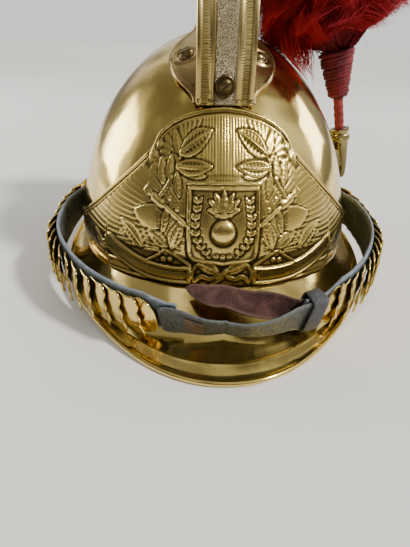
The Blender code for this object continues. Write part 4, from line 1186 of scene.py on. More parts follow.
@dataclass
class Crest:
    """Comb, its ornamental band, the saddle plate under it and three screws."""

    form: HelmetForm
    shop: Workshop
    half: float = 0.0145
    tail_half: float = 0.008
    taper_start: float = 0.3
    height: float = 0.05
    wall: float = 0.0012
    band_sheet: float = 0.0012
    band_lip: float = 0.0006
    band_gap: float = 0.0005
    band_foot: float = 0.0058
    saddle_sheet: float = 0.001
    saddle_gap: float = 0.0009
    saddle_rim: float = 0.0015
    lobe_reach: float = 0.0135
    lobe_screw: float = 0.162
    foot_screw: float = 0.25
    seat_ring: float = 0.0066
    screw_radius: float = 0.0036
    ring_radius: float = 0.0052
    screw_height: float = 0.0028
    slot_width: float = 0.001
    rib_pitch: float = 0.0013
    band_face: float = 0.86
    steps: int = 12
    band_grid: Grid = (1000, 48)
    comb_grid: Grid = (160, 48)
    saddle_grid: Grid = (216, 52)
    # share along the foot, share along the ridge, share of the height, side lobe
    stations: Table = (
        (0.0, -0.008, 0.07, 0.0), (0.015, -0.014, 0.24, 0.05), (0.035, -0.006, 0.41, 0.22),
        (0.06, 0.018, 0.58, 0.48), (0.09, 0.06, 0.72, 0.76), (0.13, 0.118, 0.825, 0.94),
        (0.175, 0.18, 0.9, 1.0), (0.22, 0.236, 0.95, 0.86), (0.26, 0.28, 0.975, 0.52),
        (0.3, 0.32, 0.99, 0.14), (0.34, 0.36, 0.998, 0.0), (0.42, 0.43, 1.0, 0.0),
        (0.51, 0.515, 0.982, 0.0), (0.6, 0.605, 0.93, 0.0), (0.69, 0.7, 0.85, 0.0),
        (0.78, 0.8, 0.725, 0.0), (0.87, 0.895, 0.53, 0.0), (0.94, 0.97, 0.29, 0.0),
        (1.0, 1.035, -0.14, 0.0),
    )
    comb_finish: Brass = Brass("brass_comb", polish=0.14, cloud=0.4, dents=0.3)
    band_finish: Brass = Brass(
        "brass_band", bright=(0.88, 0.7, 0.29), deep=(0.56, 0.42, 0.14), polish=0.18, dull=0.46,
        cloud=0.3, cavity=0.9, dents=0.05, grain=0.12, punched=0.9)
    saddle_finish: Brass = Brass(
        "brass_saddle", bright=(0.56, 0.42, 0.16), deep=(0.34, 0.21, 0.08), polish=0.17, dull=0.5,
        cloud=0.75, dents=0.25)
    screw_finish: Brass = Brass(
        "brass_screw", bright=(0.3, 0.22, 0.11), deep=(0.15, 0.1, 0.05), polish=0.2, dull=0.5,
        cloud=0.85, dents=0.15)

    def half_width(self, share: Any) -> Any:
        """Give the comb's half width, even in front and narrowing to the tail."""
        taper = np.maximum(share - self.taper_start, 0.0) / (1 - self.taper_start)
        return self.half + (self.tail_half - self.half) * taper

    def saddle_top(self) -> float:
        """Give how far the saddle plate's upper face stands off the shell."""
        return self.saddle_gap + self.saddle_sheet

    def lobe_seat(self, side: int, gap: float) -> Array:
        """Give the middle of a side screw's seat, a gap over the saddle plate."""
        aside = side * (self.half + self.ring_radius + 2 * self.form.seat_gap)
        return self.form.over(aside, self.form.foot_line(self.lobe_screw), self.saddle_top() + gap)

    def line(self) -> Tuple[Array, Array, Array]:
        """Give the foot shares, the ridge's points and its outward directions."""
        rows = np.array(smooth_rows(self.stations, self.steps))
        foot = float(self.form.over(0.0, self.form.foot_line(0.0))[2])
        top = self.form.equator + self.form.dome_height + self.height
        ridge = self.form.stack(
            0.0 * rows[:, 0], self.form.foot_line(rows[:, 1]), foot + (top - foot) * rows[:, 2])
        way = np.gradient(ridge, axis=0)
        outward = np.stack((0 * way[:, 0], -way[:, 2], way[:, 1]), axis=-1)
        outward /= np.linalg.norm(outward, axis=-1, keepdims=True)
        return rows[:, 0], ridge, outward

    def comb_surface(self, first: Array, second: Array) -> Array:
        """Give the comb's points: up one side, over the ridge and down the other."""
        shares, ridge, _ = self.line()
        spot = first * (len(shares) - 1)
        index = np.arange(len(shares))
        share = np.interp(spot, index, shares)
        peak = read_points(spot, index, ridge)
        half = self.half_width(share)
        base = self.form.over(half, self.form.foot_line(share), self.saddle_top() + self.form.gap)
        edge = peak + np.stack((half, 0 * half, 0 * half), axis=-1)
        turn = np.interp(second, (0.0, 0.4, 0.6, 1.0), (-1.0, -0.02, 0.02, 1.0))
        level = unit(1.04 - np.abs(turn) * 1.04)
        sunk = 0.0016 * np.sin(np.pi * level) ** 0.8
        points = base + (edge - base) * level[..., None]
        points[..., 0] -= sunk
        flat = np.interp(second, (0.4, 0.6), (-1.0, 1.0))
        on_top = (second > 0.4) & (second < 0.6)
        points[..., 0] = np.where(on_top, half * np.abs(flat), points[..., 0])
        points[..., 0] *= np.where(second < 0.5, -1.0, 1.0)
        return points

    def profile(self, x: Array, run: Array) -> Array:
        """Give the band's height in shares of its sheet, its beads and ribs included."""
        a = np.abs(x)
        h = np.ones_like(a)
        h += 0.6 * rounded(a - 0.915, 0.17) + 0.6 * rounded(a - 0.425, 0.1)
        h += 0.3 * rounded(a - 0.515, 0.05)
        ribbed = (a > 0.59) & (a < 0.8)
        h += np.where(ribbed, 0.46 * np.abs(np.cos(np.pi * run / self.rib_pitch)) - 0.2, 0.0)
        h -= 0.22 * bell(a - 0.82, 0.012)
        h -= 0.2 * bell(a - 0.365, 0.012)
        return h

    def band_surface(self, first: Array, second: Array) -> Array:
        """Give the band's points: its face, then its back."""
        shares, ridge, outward = self.line()
        half = self.half_width(shares) + self.band_lip
        foot = ridge[0] + outward[0] * self.band_gap
        down = ridge[0] - ridge[self.steps]
        down /= np.linalg.norm(down)
        centres = np.vstack((foot + down * self.band_foot, foot, ridge[1:] + outward[1:] * self.band_gap))
        ways = np.vstack((outward[0], outward))
        halves = np.concatenate((half[:1], half))
        run = np.concatenate(([0.0], np.cumsum(np.linalg.norm(np.diff(centres, axis=0), axis=1))))
        spot = first * run[-1]
        centre = read_points(spot, run, centres)
        way = read_points(spot, run, ways)
        width = np.interp(spot, run, halves)
        face = self.band_face
        x = np.interp(second, (0.0, face, 1.0), (-1.0, 1.0, -1.0))
        rise = np.where(second <= face, self.profile(x, spot), 0.0)
        lip = 0.55 * bell(spot - 0.0012, 0.0012)
        rise = np.where(second <= face, rise + lip, rise)
        made = centre + way * (self.band_sheet * rise)[..., None]
        made[..., 0] += x * width
        return made

    def band_cavity(self, first: Array, second: Array) -> Array:
        """Give the band's low places, where the tarnish stays."""
        x = np.abs(np.interp(second, (0.0, self.band_face), (-1.0, 1.0)))
        low = bell(x - 0.82, 0.03) + bell(x - 0.365, 0.03)
        low += 0.8 * bell(x - 0.475, 0.02)
        low += 0.62 * ((x > 0.57) & (x < 0.8)) + 0.04 * (x < 0.36)
        return unit(low)

    def band_stipple(self, first: Array, second: Array) -> Array:
        """Give the punched ground along the band's middle."""
        x = np.abs(np.interp(second, (0.0, self.band_face), (-1.0, 1.0)))
        return unit((0.365 - x) / 0.03)

    def saddle_surface(self, first: Array, second: Array) -> Array:
        """Give the saddle plate's upper face, its edge turned down."""
        rows = np.array(smooth_rows(self.stations, self.steps))
        spot = first * (len(rows) - 1)
        index = np.arange(len(rows))
        share = np.interp(spot, index, rows[:, 0])
        lobe = np.maximum(np.interp(spot, index, rows[:, 3]), 0.0)
        half = self.half_width(share) + self.saddle_rim + lobe * self.lobe_reach
        x = 2 * second - 1
        edge = bell((1 - np.abs(x)) * half - 0.0012, 0.0007)
        points = self.form.over(half * x, self.form.foot_line(share), self.saddle_top())
        centre = self.lobe_seat(1, 0.0)
        mirrored = np.concatenate((np.abs(points[..., :1]), points[..., 1:]), axis=-1)
        away = np.linalg.norm(mirrored - centre, axis=-1)
        ring = bell(away - self.seat_ring, 0.0006)
        raised = 0.0006 * edge + 0.0008 * ring
        return points + self.form.normal(points) * raised[..., None]

    def screw(self, name: str, node: str, point: Array, outward: Array) -> None:
        """Turn one domed screw with its washer and saw its slot."""
        r, ring, top = self.screw_radius, self.ring_radius, self.screw_height
        profile = [(0.0, 0.0), (ring, 0.0), (ring, 0.16 * top), (ring - 0.0002, 0.27 * top),
                   (ring - 0.0006, 0.34 * top), (ring - 0.001, 0.27 * top), (r + 0.0003, 0.12 * top),
                   (r, 0.14 * top)]
        profile += [(r * math.cos(a), 0.14 * top + 0.86 * top * math.sin(a))
                    for a in spread(0.12, 0.5 * math.pi, 10)[:-1]]
        profile.append((0.0, top))
        place = axis_frame(Vector(point), Vector(outward), Vector((1.0, 0.0, 0.75)))
        mesh = turned(profile, 40, Matrix.Identity(4))
        with edited(mesh) as solid:
            for offset in (-0.5 * self.slot_width, 0.5 * self.slot_width):
                bmesh.ops.bisect_plane(solid, geom=solid.verts[:] + solid.edges[:] + solid.faces[:],
                                       plane_co=(0.0, offset, 0.0), plane_no=(0.0, 1.0, 0.0))
            sunk = [face for face in solid.faces
                    if abs(face.calc_center_median().y) < 0.5 * self.slot_width
                    and face.calc_center_median().z > 0.4 * top]
            made = bmesh.ops.extrude_face_region(solid, geom=sunk)
            bmesh.ops.delete(solid, geom=sunk, context="FACES_ONLY")
            for vert in (item for item in made["geom"] if isinstance(item, bmesh.types.BMVert)):
                vert.co.z = 0.44 * top
            bmesh.ops.recalc_face_normals(solid, faces=solid.faces)
            bmesh.ops.transform(solid, matrix=place, verts=solid.verts)
        self.shop.piece(name, mesh, self.screw_finish, Slot.DARK_BRASS, [node], sharp=34.0)

    def build(self) -> None:
        """Build the comb, the band, the saddle plate and the screws."""
        comb = mapped(*self.comb_grid, self.comb_surface)
        piece = self.shop.piece("crest_comb", comb, self.comb_finish, Slot.BRASS, ["crest"], 55.0)
        self.shop.solidify(piece, self.wall)
        band = mapped(*self.band_grid, self.band_surface,
                      {"cavity": self.band_cavity, "stipple": self.band_stipple}, caps=True)
        self.shop.piece("crest_band_ribbed", band, self.band_finish, Slot.BRASS, ["crest_band"], 60.0)
        saddle = mapped(*self.saddle_grid, self.saddle_surface, merge=False)
        piece = self.shop.piece(
            "crest_saddle_plate", saddle, self.saddle_finish, Slot.BRASS, ["crest_saddle"])
        self.shop.solidify(piece, self.saddle_sheet)
        _, ridge, outward = self.line()
        low, high = (ridge[k] + outward[k] * self.band_gap for k in (0, self.steps))
        middle = low + (high - low) * self.foot_screw
        way = outward[self.steps // 4]
        seat = middle + way * (self.band_sheet + self.form.gap)
        self.screw("screw_front", "crest_screw_front", seat, way)
        for name, side in (("left", 1), ("right", -1)):
            seat = self.lobe_seat(side, self.form.gap)
            self.screw(f"screw_{name}", f"crest_screw_{name}", seat, self.form.normal(seat))


@dataclass
class Plume:
    """Brass socket with the rod, the cord-wound binding and the red feathers."""

    form: HelmetForm
    shop: Workshop
    angle: float = math.radians(96.0)
    foot_height: float = 0.05
    stand_off: float = 0.011
    socket_length: float = 0.038
    collar: float = 0.0073
    bracket_rise: float = 0.01
    bracket_height: float = 0.012
    bracket_width: float = 0.016
    lean: float = math.radians(12.5)
    back_lean: float = math.radians(1.0)
    rod_radius: float = 0.0038
    rod_depth: float = 0.012
    rod_length: float = 0.0215
    binding_length: float = 0.0315
    binding_foot: float = 0.007
    binding_top: float = 0.0123
    core_inset: float = 0.0016
    turns: int = 12
    radius: float = 0.0565
    height: float = 0.16
    clearance: float = 0.0025
    crowd: float = 1.35
    crest_side: float = 0.0175
    crest_top: float = 0.205
    seed: int = 11
    # name, lowest and highest root, reach, locks
    tiers: Tuple[Tuple[str, float, float, float, int], ...] = (
        ("low", 0.01, 0.34, 1.0, 205), ("middle", 0.3, 0.66, 0.93, 185),
        ("top", 0.6, 0.91, 0.76, 160),
    )
    strands: int = 78
    # radius in collars, share of the socket's length
    profile: Tuple[Point, ...] = (
        (0.16, 0.0), (0.36, 0.05), (0.52, 0.2), (0.66, 0.42), (0.78, 0.64), (0.84, 0.735),
        (0.9, 0.755), (1.0, 0.775), (1.02, 0.82), (1.0, 0.86), (0.88, 0.885), (0.86, 0.905),
        (0.94, 0.925), (0.98, 0.955), (0.96, 0.995), (0.9, 1.0),
    )
    # share of the plume's height, share of its radius
    envelope: Tuple[Point, ...] = (
        (0.0, 0.22), (0.05, 0.62), (0.12, 0.97), (0.22, 1.0), (0.34, 0.97), (0.46, 0.95), (0.6, 0.9),
        (0.74, 0.79), (0.86, 0.62), (0.95, 0.4), (1.0, 0.06),
    )
    socket_finish: Brass = Brass(
        "brass_socket", bright=(0.34, 0.28, 0.12), deep=(0.2, 0.16, 0.06), polish=0.2, dull=0.5,
        cloud=0.6, dents=0.2)
    rod_finish: Cord = Cord("red_rod", dark=(0.16, 0.015, 0.015), dye=(0.44, 0.05, 0.045), twist=2.0)
    cord_finish: Cord = Cord("red_twine", twist=90.0)
    feather_finish: Feather = Feather("red_feathers")
    # a darker copy of the feather finish: painted shade for the plume's inside
    core_shade_finish: Feather = Feather(
        "red_feather_shade", root=(0.03, 0.003, 0.004), dye=(0.13, 0.006, 0.008), glow=(0.22, 0.012, 0.012))

    def frame_at(self, along: float) -> Matrix:
        """Give the plume's own axes at a distance along it."""
        foot = Vector(self.form.side(self.angle, self.foot_height, self.stand_off))
        axis = Vector((-math.sin(self.lean), math.sin(self.back_lean), math.cos(self.lean))).normalized()
        return axis_frame(foot + axis * along, axis, Vector((1.0, 0.0, 0.0)))

    def socket(self) -> None:
        """Turn the socket and fuse its bracket to it."""
        length = self.socket_length
        bore = self.rod_radius + self.form.gap
        outline = [(0.0, 0.0)] + [(self.collar * r, length * h) for r, h in self.profile]
        outline += [(bore, length), (bore, length - self.rod_depth), (0.0, length - self.rod_depth)]
        mesh = turned(outline, 48, self.frame_at(0.0))
        low = self.foot_height + self.bracket_rise
        foot = self.frame_at(0.0).translation
        axis = self.frame_at(0.0).col[2].xyz
        half = 0.5 * self.bracket_width

        def bracket(first: Array, second: Array) -> Array:
            """Give the bracket's two cheeks, which narrow from the shell to the socket."""
            z = low + self.bracket_height * first
            seat = self.form.side(self.angle + 0 * z, z, self.form.seat_gap)
            middle = np.array(foot) + np.array(axis) * ((z - foot.z) / axis.z)[..., None]
            turn = second * 4.0
            inner = np.interp(turn, (0, 1, 2, 3, 4), (0.0, 1.0, 1.0, 0.0, 0.0))
            flank = np.interp(turn, (0, 1, 2, 3, 4), (-1.0, -0.45, 0.45, 1.0, -1.0))
            points = seat + (middle - seat) * inner[..., None]
            points[..., 1] += half * flank
            return points

        arm = mapped(10, 16, bracket, caps=True)
        with edited(mesh) as solid:
            solid.from_mesh(arm)
        bpy.data.meshes.remove(arm)
        self.shop.piece("socket_turned", mesh, self.socket_finish, Slot.BRASS, ["plume_socket"], 34.0)

    def stem(self) -> None:
        """Make the painted rod and wind the binding's cord over its cone."""
        start = self.socket_length - self.rod_depth + self.form.gap
        top = self.socket_length + self.rod_length

        def rod(first: Array, second: Array) -> Array:
            """Give the rod's points, a little uneven under its wrapping."""
            radius = self.rod_radius * (0.9 + 0.05 * np.cos(second * 40.0 + first * 12.0))
            return self.turn_points(radius, first, start + (top - start) * second)

        mesh = mapped(28, 60, rod, caps=True)
        self.shop.piece("plume_rod_wrapped", mesh, self.rod_finish, Slot.RED_CORD, ["plume_rod"])
        base = top + self.form.gap
        pitch = self.binding_length / self.turns

        def twine(first: Array, second: Array) -> Array:
            """Give the points of a cord wound in a rising coil round the cone."""
            turn = 2 * np.pi * self.turns * first
            run = unit(first)
            cone = self.binding_foot + (self.binding_top - self.binding_foot) * run
            wobble = 0.00026 * np.sin(turn * 0.37) + 0.00016 * np.sin(turn * 1.31)
            lay = 0.00016 * np.cos(2 * (2 * np.pi * second) - turn * 14.0)
            thick = 0.56 * pitch
            ring = 2 * np.pi * second
            radius = cone - thick * 0.95 + wobble + (thick + lay) * np.cos(ring)
            height = base + thick + (self.binding_length - 2 * thick) * run + thick * np.sin(ring)
            local = np.stack((radius * np.cos(turn), radius * np.sin(turn), height + wobble,
                              np.ones_like(run)), axis=-1)
            return (local @ np.array(self.frame_at(0.0)).T)[..., :3]

        cord = mapped(self.turns * 84, 14, twine, caps=True)
        foot, top = base + 0.0004, base + self.binding_length
        outline = [(0.0, foot), (self.binding_foot - self.core_inset, foot),
                   (self.binding_top - self.core_inset, top), (0.0, top)]
        cone = turned(outline, 40, self.frame_at(0.0))
        with edited(cord) as solid:
            solid.from_mesh(cone)
        bpy.data.meshes.remove(cone)
        self.shop.piece("plume_binding_cord", cord, self.cord_finish, Slot.RED_CORD, ["plume_binding"])

    def turn_points(self, radius: Any, first: Array, along: Array) -> Array:
        """Give points round the plume's axis."""
        turn = 2 * np.pi * first
        local = np.stack((radius * np.cos(turn), radius * np.sin(turn), along, np.ones_like(first)),
                         axis=-1)
        return (local @ np.array(self.frame_at(0.0)).T)[..., :3]

    def clear(self, points: Array) -> Array:
        """Keep feather points off the dome."""
        floor = self.form.over(points[..., 0], points[..., 1])[..., 2] + self.clearance
        inside = np.hypot(
            points[..., 0] / self.form.half_width, points[..., 1] / self.form.half_length) < 1.0
        points[..., 2] = np.where(inside, np.maximum(points[..., 2], floor), points[..., 2])
        beside = (points[..., 0] < self.crest_side) & (points[..., 2] < self.crest_top)
        points[..., 0] = np.where(
            beside, self.crest_side + 0.12 * (points[..., 0] - self.crest_side), points[..., 0])
        return points

    def core(self) -> None:
        """Make a dark lumpy sheet under the feathers, painted shade standing in for the plume's shaded
        inside.
        """
        base = self.socket_length + self.rod_length + self.binding_length + 2 * self.form.gap

        def down(first: Array, second: Array) -> Array:
            """Give the shade sheet's lumpy surface."""
            turn = 2 * np.pi * first
            radius = 0.64 * self.radius * read_rows(self.envelope, second) * (0.4 + 0.6 * second ** 0.4)
            lumps = (0.06 * np.sin(7 * turn + 9 * second) + 0.05 * np.sin(11 * turn - 14 * second)
                     + 0.04 * np.sin(23 * turn + 31 * second)) * np.sin(np.pi * second)
            along = base + self.height * (0.01 + 0.93 * second)
            return self.clear(self.turn_points(radius * (1 + lumps), first, along))

        def along(first: Array, second: Array) -> Array:
            """Give the shade sheet's tone, the same all over."""
            return 0.12 + 0.0 * first

        # painted shade: a dark sheet inside the plume
        mesh = mapped(120, 80, down, {"along": along, "tone": along}, caps=True)
        self.shop.piece("plume_shade_core", mesh, self.core_shade_finish, Slot.RED_FEATHER, ["plume_feathers"])

    def tier(self, name: str, low: float, high: float, reach: float, locks: int,
             chance: np.random.Generator) -> None:
        """Grow one tier of locks, each a bundle of tapering barbs that arch out and hang.

        Args:
            name: the tier.
            low: share of the height where its lowest roots are.
            high: share of the height where its highest roots are.
            reach: share of the plume's radius that it fills.
            locks: number of locks.
            chance: seeded random numbers.
        """
        base = self.socket_length + self.rod_length + self.binding_length + 2 * self.form.gap
        bends = 5
        count = locks * self.strands
        lock = np.repeat(np.arange(locks), self.strands)
        root = low + (high - low) * chance.uniform(0.0, 1.0, locks) ** self.crowd
        turn = chance.uniform(0, 2 * np.pi, locks)
        outer = unit(np.cos(turn)) * np.interp(root, (0.0, 0.5), (1.0, 0.0))
        hang = chance.uniform(0.04, 0.2, locks) * np.interp(root, (0.0, 0.3, 1.0), (0.12, 1.0, 0.8))
        hang = hang - 0.09 * outer
        hang = hang + chance.uniform(0.0, 0.16, locks) * (np.cos(turn) < -0.86)
        width = chance.uniform(0.8, 1.06, locks)
        tone = unit(chance.normal(0.34, 0.28, locks))
        swirl = chance.uniform(-0.5, 0.5, locks)
        curl = chance.uniform(-0.05, 0.05, locks)
        jitter = chance.normal(0.0, 1.0, (5, count))
        stray = np.where(chance.uniform(0.0, 1.0, count) < 0.12, 3.0, 1.0)
        t = np.linspace(0.0, 1.0, bends + 1)[None, :]
        begin = (root[lock] + 0.022 * jitter[0])[:, None]
        gather = (1 - t) ** 0.7 + 0.07 * stray[:, None]
        ang = turn[lock][:, None] + 0.19 * jitter[1][:, None] * gather
        ang = ang + swirl[lock][:, None] * t ** 2 + 0.04 * np.sin(5.0 * t + 3.0 * jitter[4][:, None])
        fall = (hang[lock] * (1 + 0.1 * jitter[3] * stray))[:, None]
        lift = root[lock][:, None] + (begin - root[lock][:, None]) * gather + 0.22 * t * (1 - t)
        lift = lift + 0.05 * t - fall * t ** 2.2 + curl[lock][:, None] * np.sin(2 * np.pi * t)
        widest = read_rows(self.envelope, unit(begin + 0.04 + 0.0 * t))
        room = read_rows(self.envelope, unit(lift))
        limit = reach * self.radius * np.maximum(widest * 0.94, room * 0.7)
        far = (width[lock] * (1 + 0.035 * jitter[2] * stray))[:, None]
        radius = limit * far * (0.24 + 0.76 * (1 - (1 - t) ** 1.7))
        local = np.stack((radius * np.cos(ang), radius * np.sin(ang), base + self.height * lift,
                          np.ones_like(radius)), axis=-1)
        centre = self.clear((local @ np.array(self.frame_at(0.0)).T)[..., :3])
        way = np.gradient(centre, axis=1)
        way /= np.maximum(np.linalg.norm(way, axis=-1, keepdims=True), 1e-9)
        radial = np.stack((np.cos(ang), np.sin(ang), 0 * ang), axis=-1) + 0.0 * centre
        twist = chance.normal(0.0, 0.6, (count, 1, 1))
        side = np.cross(way, radial)
        side = side / np.maximum(np.linalg.norm(side, axis=-1, keepdims=True), 1e-9)
        side = side * np.cos(twist) + np.cross(way, side) * np.sin(twist)
        thick = chance.uniform(0.00024, 0.00052, (count, 1, 1))
        taper = (1 - 0.93 * t ** 1.6)[..., None]
        left = centre - side * thick * taper
        right = centre + side * thick * taper
        points = np.stack((left, right), axis=2).reshape(-1, 3)
        each = 2 * (bends + 1)
        first = np.arange(count)[:, None] * each + 2 * np.arange(bends)[None, :]
        faces = np.stack((first, first + 1, first + 3, first + 2), axis=-1).reshape(-1, 4)
        mesh = bpy.data.meshes.new("mesh")
        mesh.from_pydata(points.tolist(), [], faces.tolist())
        for label, values in (("along", np.broadcast_to(t, (count, bends + 1))),
                              ("tone", np.broadcast_to(tone[lock][:, None], (count, bends + 1)))):
            layer = mesh.attributes.new(label, "FLOAT", "POINT")
            layer.data.foreach_set("value", np.repeat(values.reshape(-1), 2).astype(float))
        self.shop.piece(f"plume_feathers_{name}", mesh, self.feather_finish, Slot.RED_FEATHER,
                        ["plume_feathers"])

    def build(self) -> None:
        """Build the socket, the stem and the feathers."""
        self.socket()
        self.stem()
        self.core()
        chance = np.random.default_rng(self.seed)
        for name, low, high, reach, locks in self.tiers:
            self.tier(name, low, high, reach, locks, chance)


class Side(Enum):
    """The wearer's sides."""

    RIGHT = -1
    LEFT = 1


StrapFrame = Tuple[Vector, Vector, Vector, Vector]


@dataclass
class StrapRun:
    """One side of the chin strap, read by the distance from the middle of the front."""

    form: HelmetForm
    side: Side
    clearance: float
    band: float
    hang_height: float
    # angle, share of the peak's depth, bands beyond its edge, climb to the knob, lean
    stations: Table = (
        (0.0, 0.44, 0.0, 0.0, 18.0), (12.0, 0.54, 0.0, 0.0, 17.0), (23.0, 0.63, 0.0, 0.0, 14.0),
        (35.5, 0.76, 0.0, 0.0, 8.0), (46.0, 0.91, 0.0, 0.0, 3.0), (54.0, 1.0, 0.02, 0.0, 1.0),
        (61.0, 1.0, 0.1, 0.0, 0.0), (67.5, 1.0, 0.14, 0.06, 0.0), (73.0, 1.0, 0.1, 0.25, 0.0),
        (78.5, 0.96, 0.0, 0.52, -1.0), (84.0, 0.68, 0.0, 0.72, -2.0), (89.0, 0.36, 0.0, 0.9, -3.0),
        (95.0, 0.2, 0.0, 1.0, -3.0),
    )

    def __post_init__(self) -> None:
        """Work out the frames and how far along the strap each lies."""
        self.frames = [self.read(row) for row in smooth_rows(self.stations, 6)]
        self.reach = [0.0]
        for before, after in zip(self.frames, self.frames[1:]):
            self.reach.append(self.reach[-1] + (after[0] - before[0]).length)
        self.length = self.reach[-1]

    def read(self, row: Row) -> Tuple[Vector, Vector, Vector]:
        """Turn a station into the strap's lowest line with its upward and outward directions."""
        degrees, depth, beyond, climb, lean = row
        angle = math.radians(degrees)
        share = min(max(depth, 0.0), 1.0)
        outward = Vector((math.sin(angle) / (self.form.half_width + self.form.side_ledge),
                          -math.cos(angle) / (self.form.half_length + self.form.reach), 0)).normalized()
        low = Vector(self.form.rim(angle, share)) + Vector((0, 0, self.form.sheet + self.clearance))
        foot = low + outward * max(beyond, 0.0) * self.band
        foot.z += (self.hang_height - self.band / 2 - low.z) * min(max(climb, 0.0), 1.0)
        turn = math.radians(lean)
        up = Vector((0, 0, 1)) * math.cos(turn) + outward * math.sin(turn)
        mirror = Vector((self.side.value, 1, 1))
        return foot * mirror, up * mirror, outward * mirror

    def heading(self, i: int) -> Vector:
        """Give the direction towards the middle of the front at one of the frames."""
        if i == 0:
            return Vector((-self.side.value, 0, 0))
        after = self.frames[min(i + 1, len(self.frames) - 1)][0]
        return (self.frames[i - 1][0] - after).normalized()

    def at(self, distance: float) -> StrapFrame:
        """Give the foot and the upward, outward and forward directions at a distance."""
        distance = min(max(distance, 0.0), self.length)
        i = 1
        while i < len(self.reach) - 1 and self.reach[i] < distance:
            i += 1
        share = (distance - self.reach[i - 1]) / (self.reach[i] - self.reach[i - 1])
        before, after = self.frames[i - 1], self.frames[i]
        foot, up, outward = (a + (b - a) * share for a, b in zip(before, after))
        forward = (self.heading(i - 1) * (1 - share) + self.heading(i) * share).normalized()
        up = (up - forward * up.dot(forward)).normalized()
        face = up.cross(forward).normalized()
        if face.dot(outward) < 0:
            face = -face
        return foot, up, face, forward


@dataclass
class ChinStrap:
    """Leather backing, brass scales, joining tongue, free tail, keeper and the two knobs."""

    form: HelmetForm
    shop: Workshop
    boss_angle: float = math.radians(95.0)
    boss_height: float = 0.034
    boss_radius: float = 0.0115
    stem_radius: float = 0.0035
    boss_crown: float = 0.0044
    thickness: float = 0.0022
    width: float = 0.019
    edge_rise: float = 0.0056
    edge_fade: float = 0.012
    front_span: float = 0.05
    start_right: float = 0.022
    start_left: float = 0.0385
    clearance: float = 0.0025
    scale_width: float = 0.0255
    scale_sheet: float = 0.0008
    overlap: float = 0.0035
    lift: float = 0.22
    crown: float = 0.0012
    scales_left: int = 14
    scales_right: int = 15
    end_length: float = 0.014
    end_lift: float = 0.02
    end_left: float = 0.0515
    end_right: float = 0.031
    tongue_thickness: float = 0.0018
    tail_thickness: float = 0.0016
    tail_width: float = 0.0145
    keeper_start: float = 0.04
    keeper_length: float = 0.01
    keeper_wall: float = 0.0014
    # share across the strap, share of the length, shift along the width
    scale_outline: Table = (
        (0.0, 0.86, -0.04), (0.06, 0.98, -0.035), (0.17, 1.04, -0.03), (0.28, 0.97, -0.01),
        (0.34, 0.84, 0.0), (0.4, 0.95, 0.0), (0.5, 1.0, 0.0), (0.6, 0.95, 0.0), (0.66, 0.84, 0.0),
        (0.73, 0.95, 0.01), (0.83, 1.0, 0.02), (0.94, 0.93, 0.015), (1.0, 0.8, 0.01),
    )
    end_outline: Table = (
        (0.02, 0.4, 0.0), (0.1, 0.72, 0.0), (0.26, 0.94, 0.0), (0.5, 1.0, 0.0), (0.74, 0.94, 0.0),
        (0.9, 0.72, 0.0), (0.98, 0.4, 0.0),
    )
    # front spans from the middle, shift off and up in widths, lean, share of the width
    tongue_rows: Table = (
        (-0.6, 0.142, 0.17, 0.0, 0.86), (-0.54, 0.142, 0.17, 0.0, 1.0), (-0.4, 0.15, 0.16, 3.0, 1.0),
        (-0.2, 0.21, 0.07, 13.0, 1.0), (0.0, 0.24, 0.05, 19.0, 1.0), (0.24, 0.24, 0.06, 18.0, 1.0),
        (0.46, 0.19, 0.12, 10.0, 1.0), (0.64, 0.148, 0.17, 2.0, 1.0), (0.78, 0.142, 0.17, 0.0, 1.0),
        (0.93, 0.142, 0.17, 0.0, 1.0),
    )
    tail_rows: Table = (
        (-0.4, -0.79, 0.39, -76.0, 0.05), (-0.28, -0.63, 0.43, -79.0, 0.58),
        (-0.12, -0.37, 0.48, -81.0, 0.92), (0.1, -0.16, 0.51, -82.0, 1.0),
        (0.32, -0.08, 0.48, -66.0, 1.0), (0.52, -0.085, 0.39, -36.0, 1.0),
        (0.68, -0.116, 0.31, -10.0, 1.0), (0.8, -0.126, 0.29, 0.0, 1.0),
        (1.01, -0.126, 0.29, 0.0, 1.0),
    )
    # the scales' cavity mask paints shade on each scale's fixed end, under the scale before
    scale_finish: Brass = Brass(
        "brass_scales", polish=0.14, dull=0.5, cloud=0.34, cavity=0.9, dents=0.2)
    boss_finish: Brass = Brass("brass_knob", polish=0.14, cloud=0.5, dents=0.2)
    strap_finish: Leather = Leather(
        "strap_leather", dark=(0.03, 0.038, 0.047), worn=(0.12, 0.145, 0.17), edge=(0.21, 0.25, 0.29),
        rubbed=0.85)
    tongue_finish: Leather = Leather(
        "tongue_leather", dark=(0.01, 0.013, 0.013), worn=(0.095, 0.105, 0.092),
        edge=(0.13, 0.145, 0.155), speckle=0.85)
    keeper_finish: Leather = Leather(
        "keeper_leather", dark=(0.014, 0.014, 0.016), worn=(0.055, 0.058, 0.064),
        edge=(0.12, 0.125, 0.14), speckle=0.35)
    patch_finish: Leather = Leather(
        "patch_leather", dark=(0.05, 0.026, 0.016), worn=(0.15, 0.09, 0.055), edge=(0.24, 0.16, 0.11),
        speckle=0.5)
    tail_finish: Suede = Suede("tail_suede")

    def __post_init__(self) -> None:
        """Work out both sides' runs."""
        self.runs = {side: StrapRun(self.form, side, self.clearance, self.scale_width, self.boss_height)
                     for side in Side}

    @staticmethod
    def round_section(turn: Array, width: float, thickness: float) -> Tuple[Array, Array]:
        """Give points round a strap's section, its edges rounded off.

        Args:
            turn: shares of the way round.
            width: the strap's width.
            thickness: its thickness.

        Returns:
            Heights from the middle line and distances off the middle plane.
        """
        angle = 2 * np.pi * turn + 0.25 * np.pi
        cosine, sine = np.cos(angle), np.sin(angle)
        high = np.sign(cosine) * np.abs(cosine) ** 0.3 * 0.5 * width
        deep = np.sign(sine) * np.abs(sine) ** 0.42 * 0.5 * thickness
        return high, deep

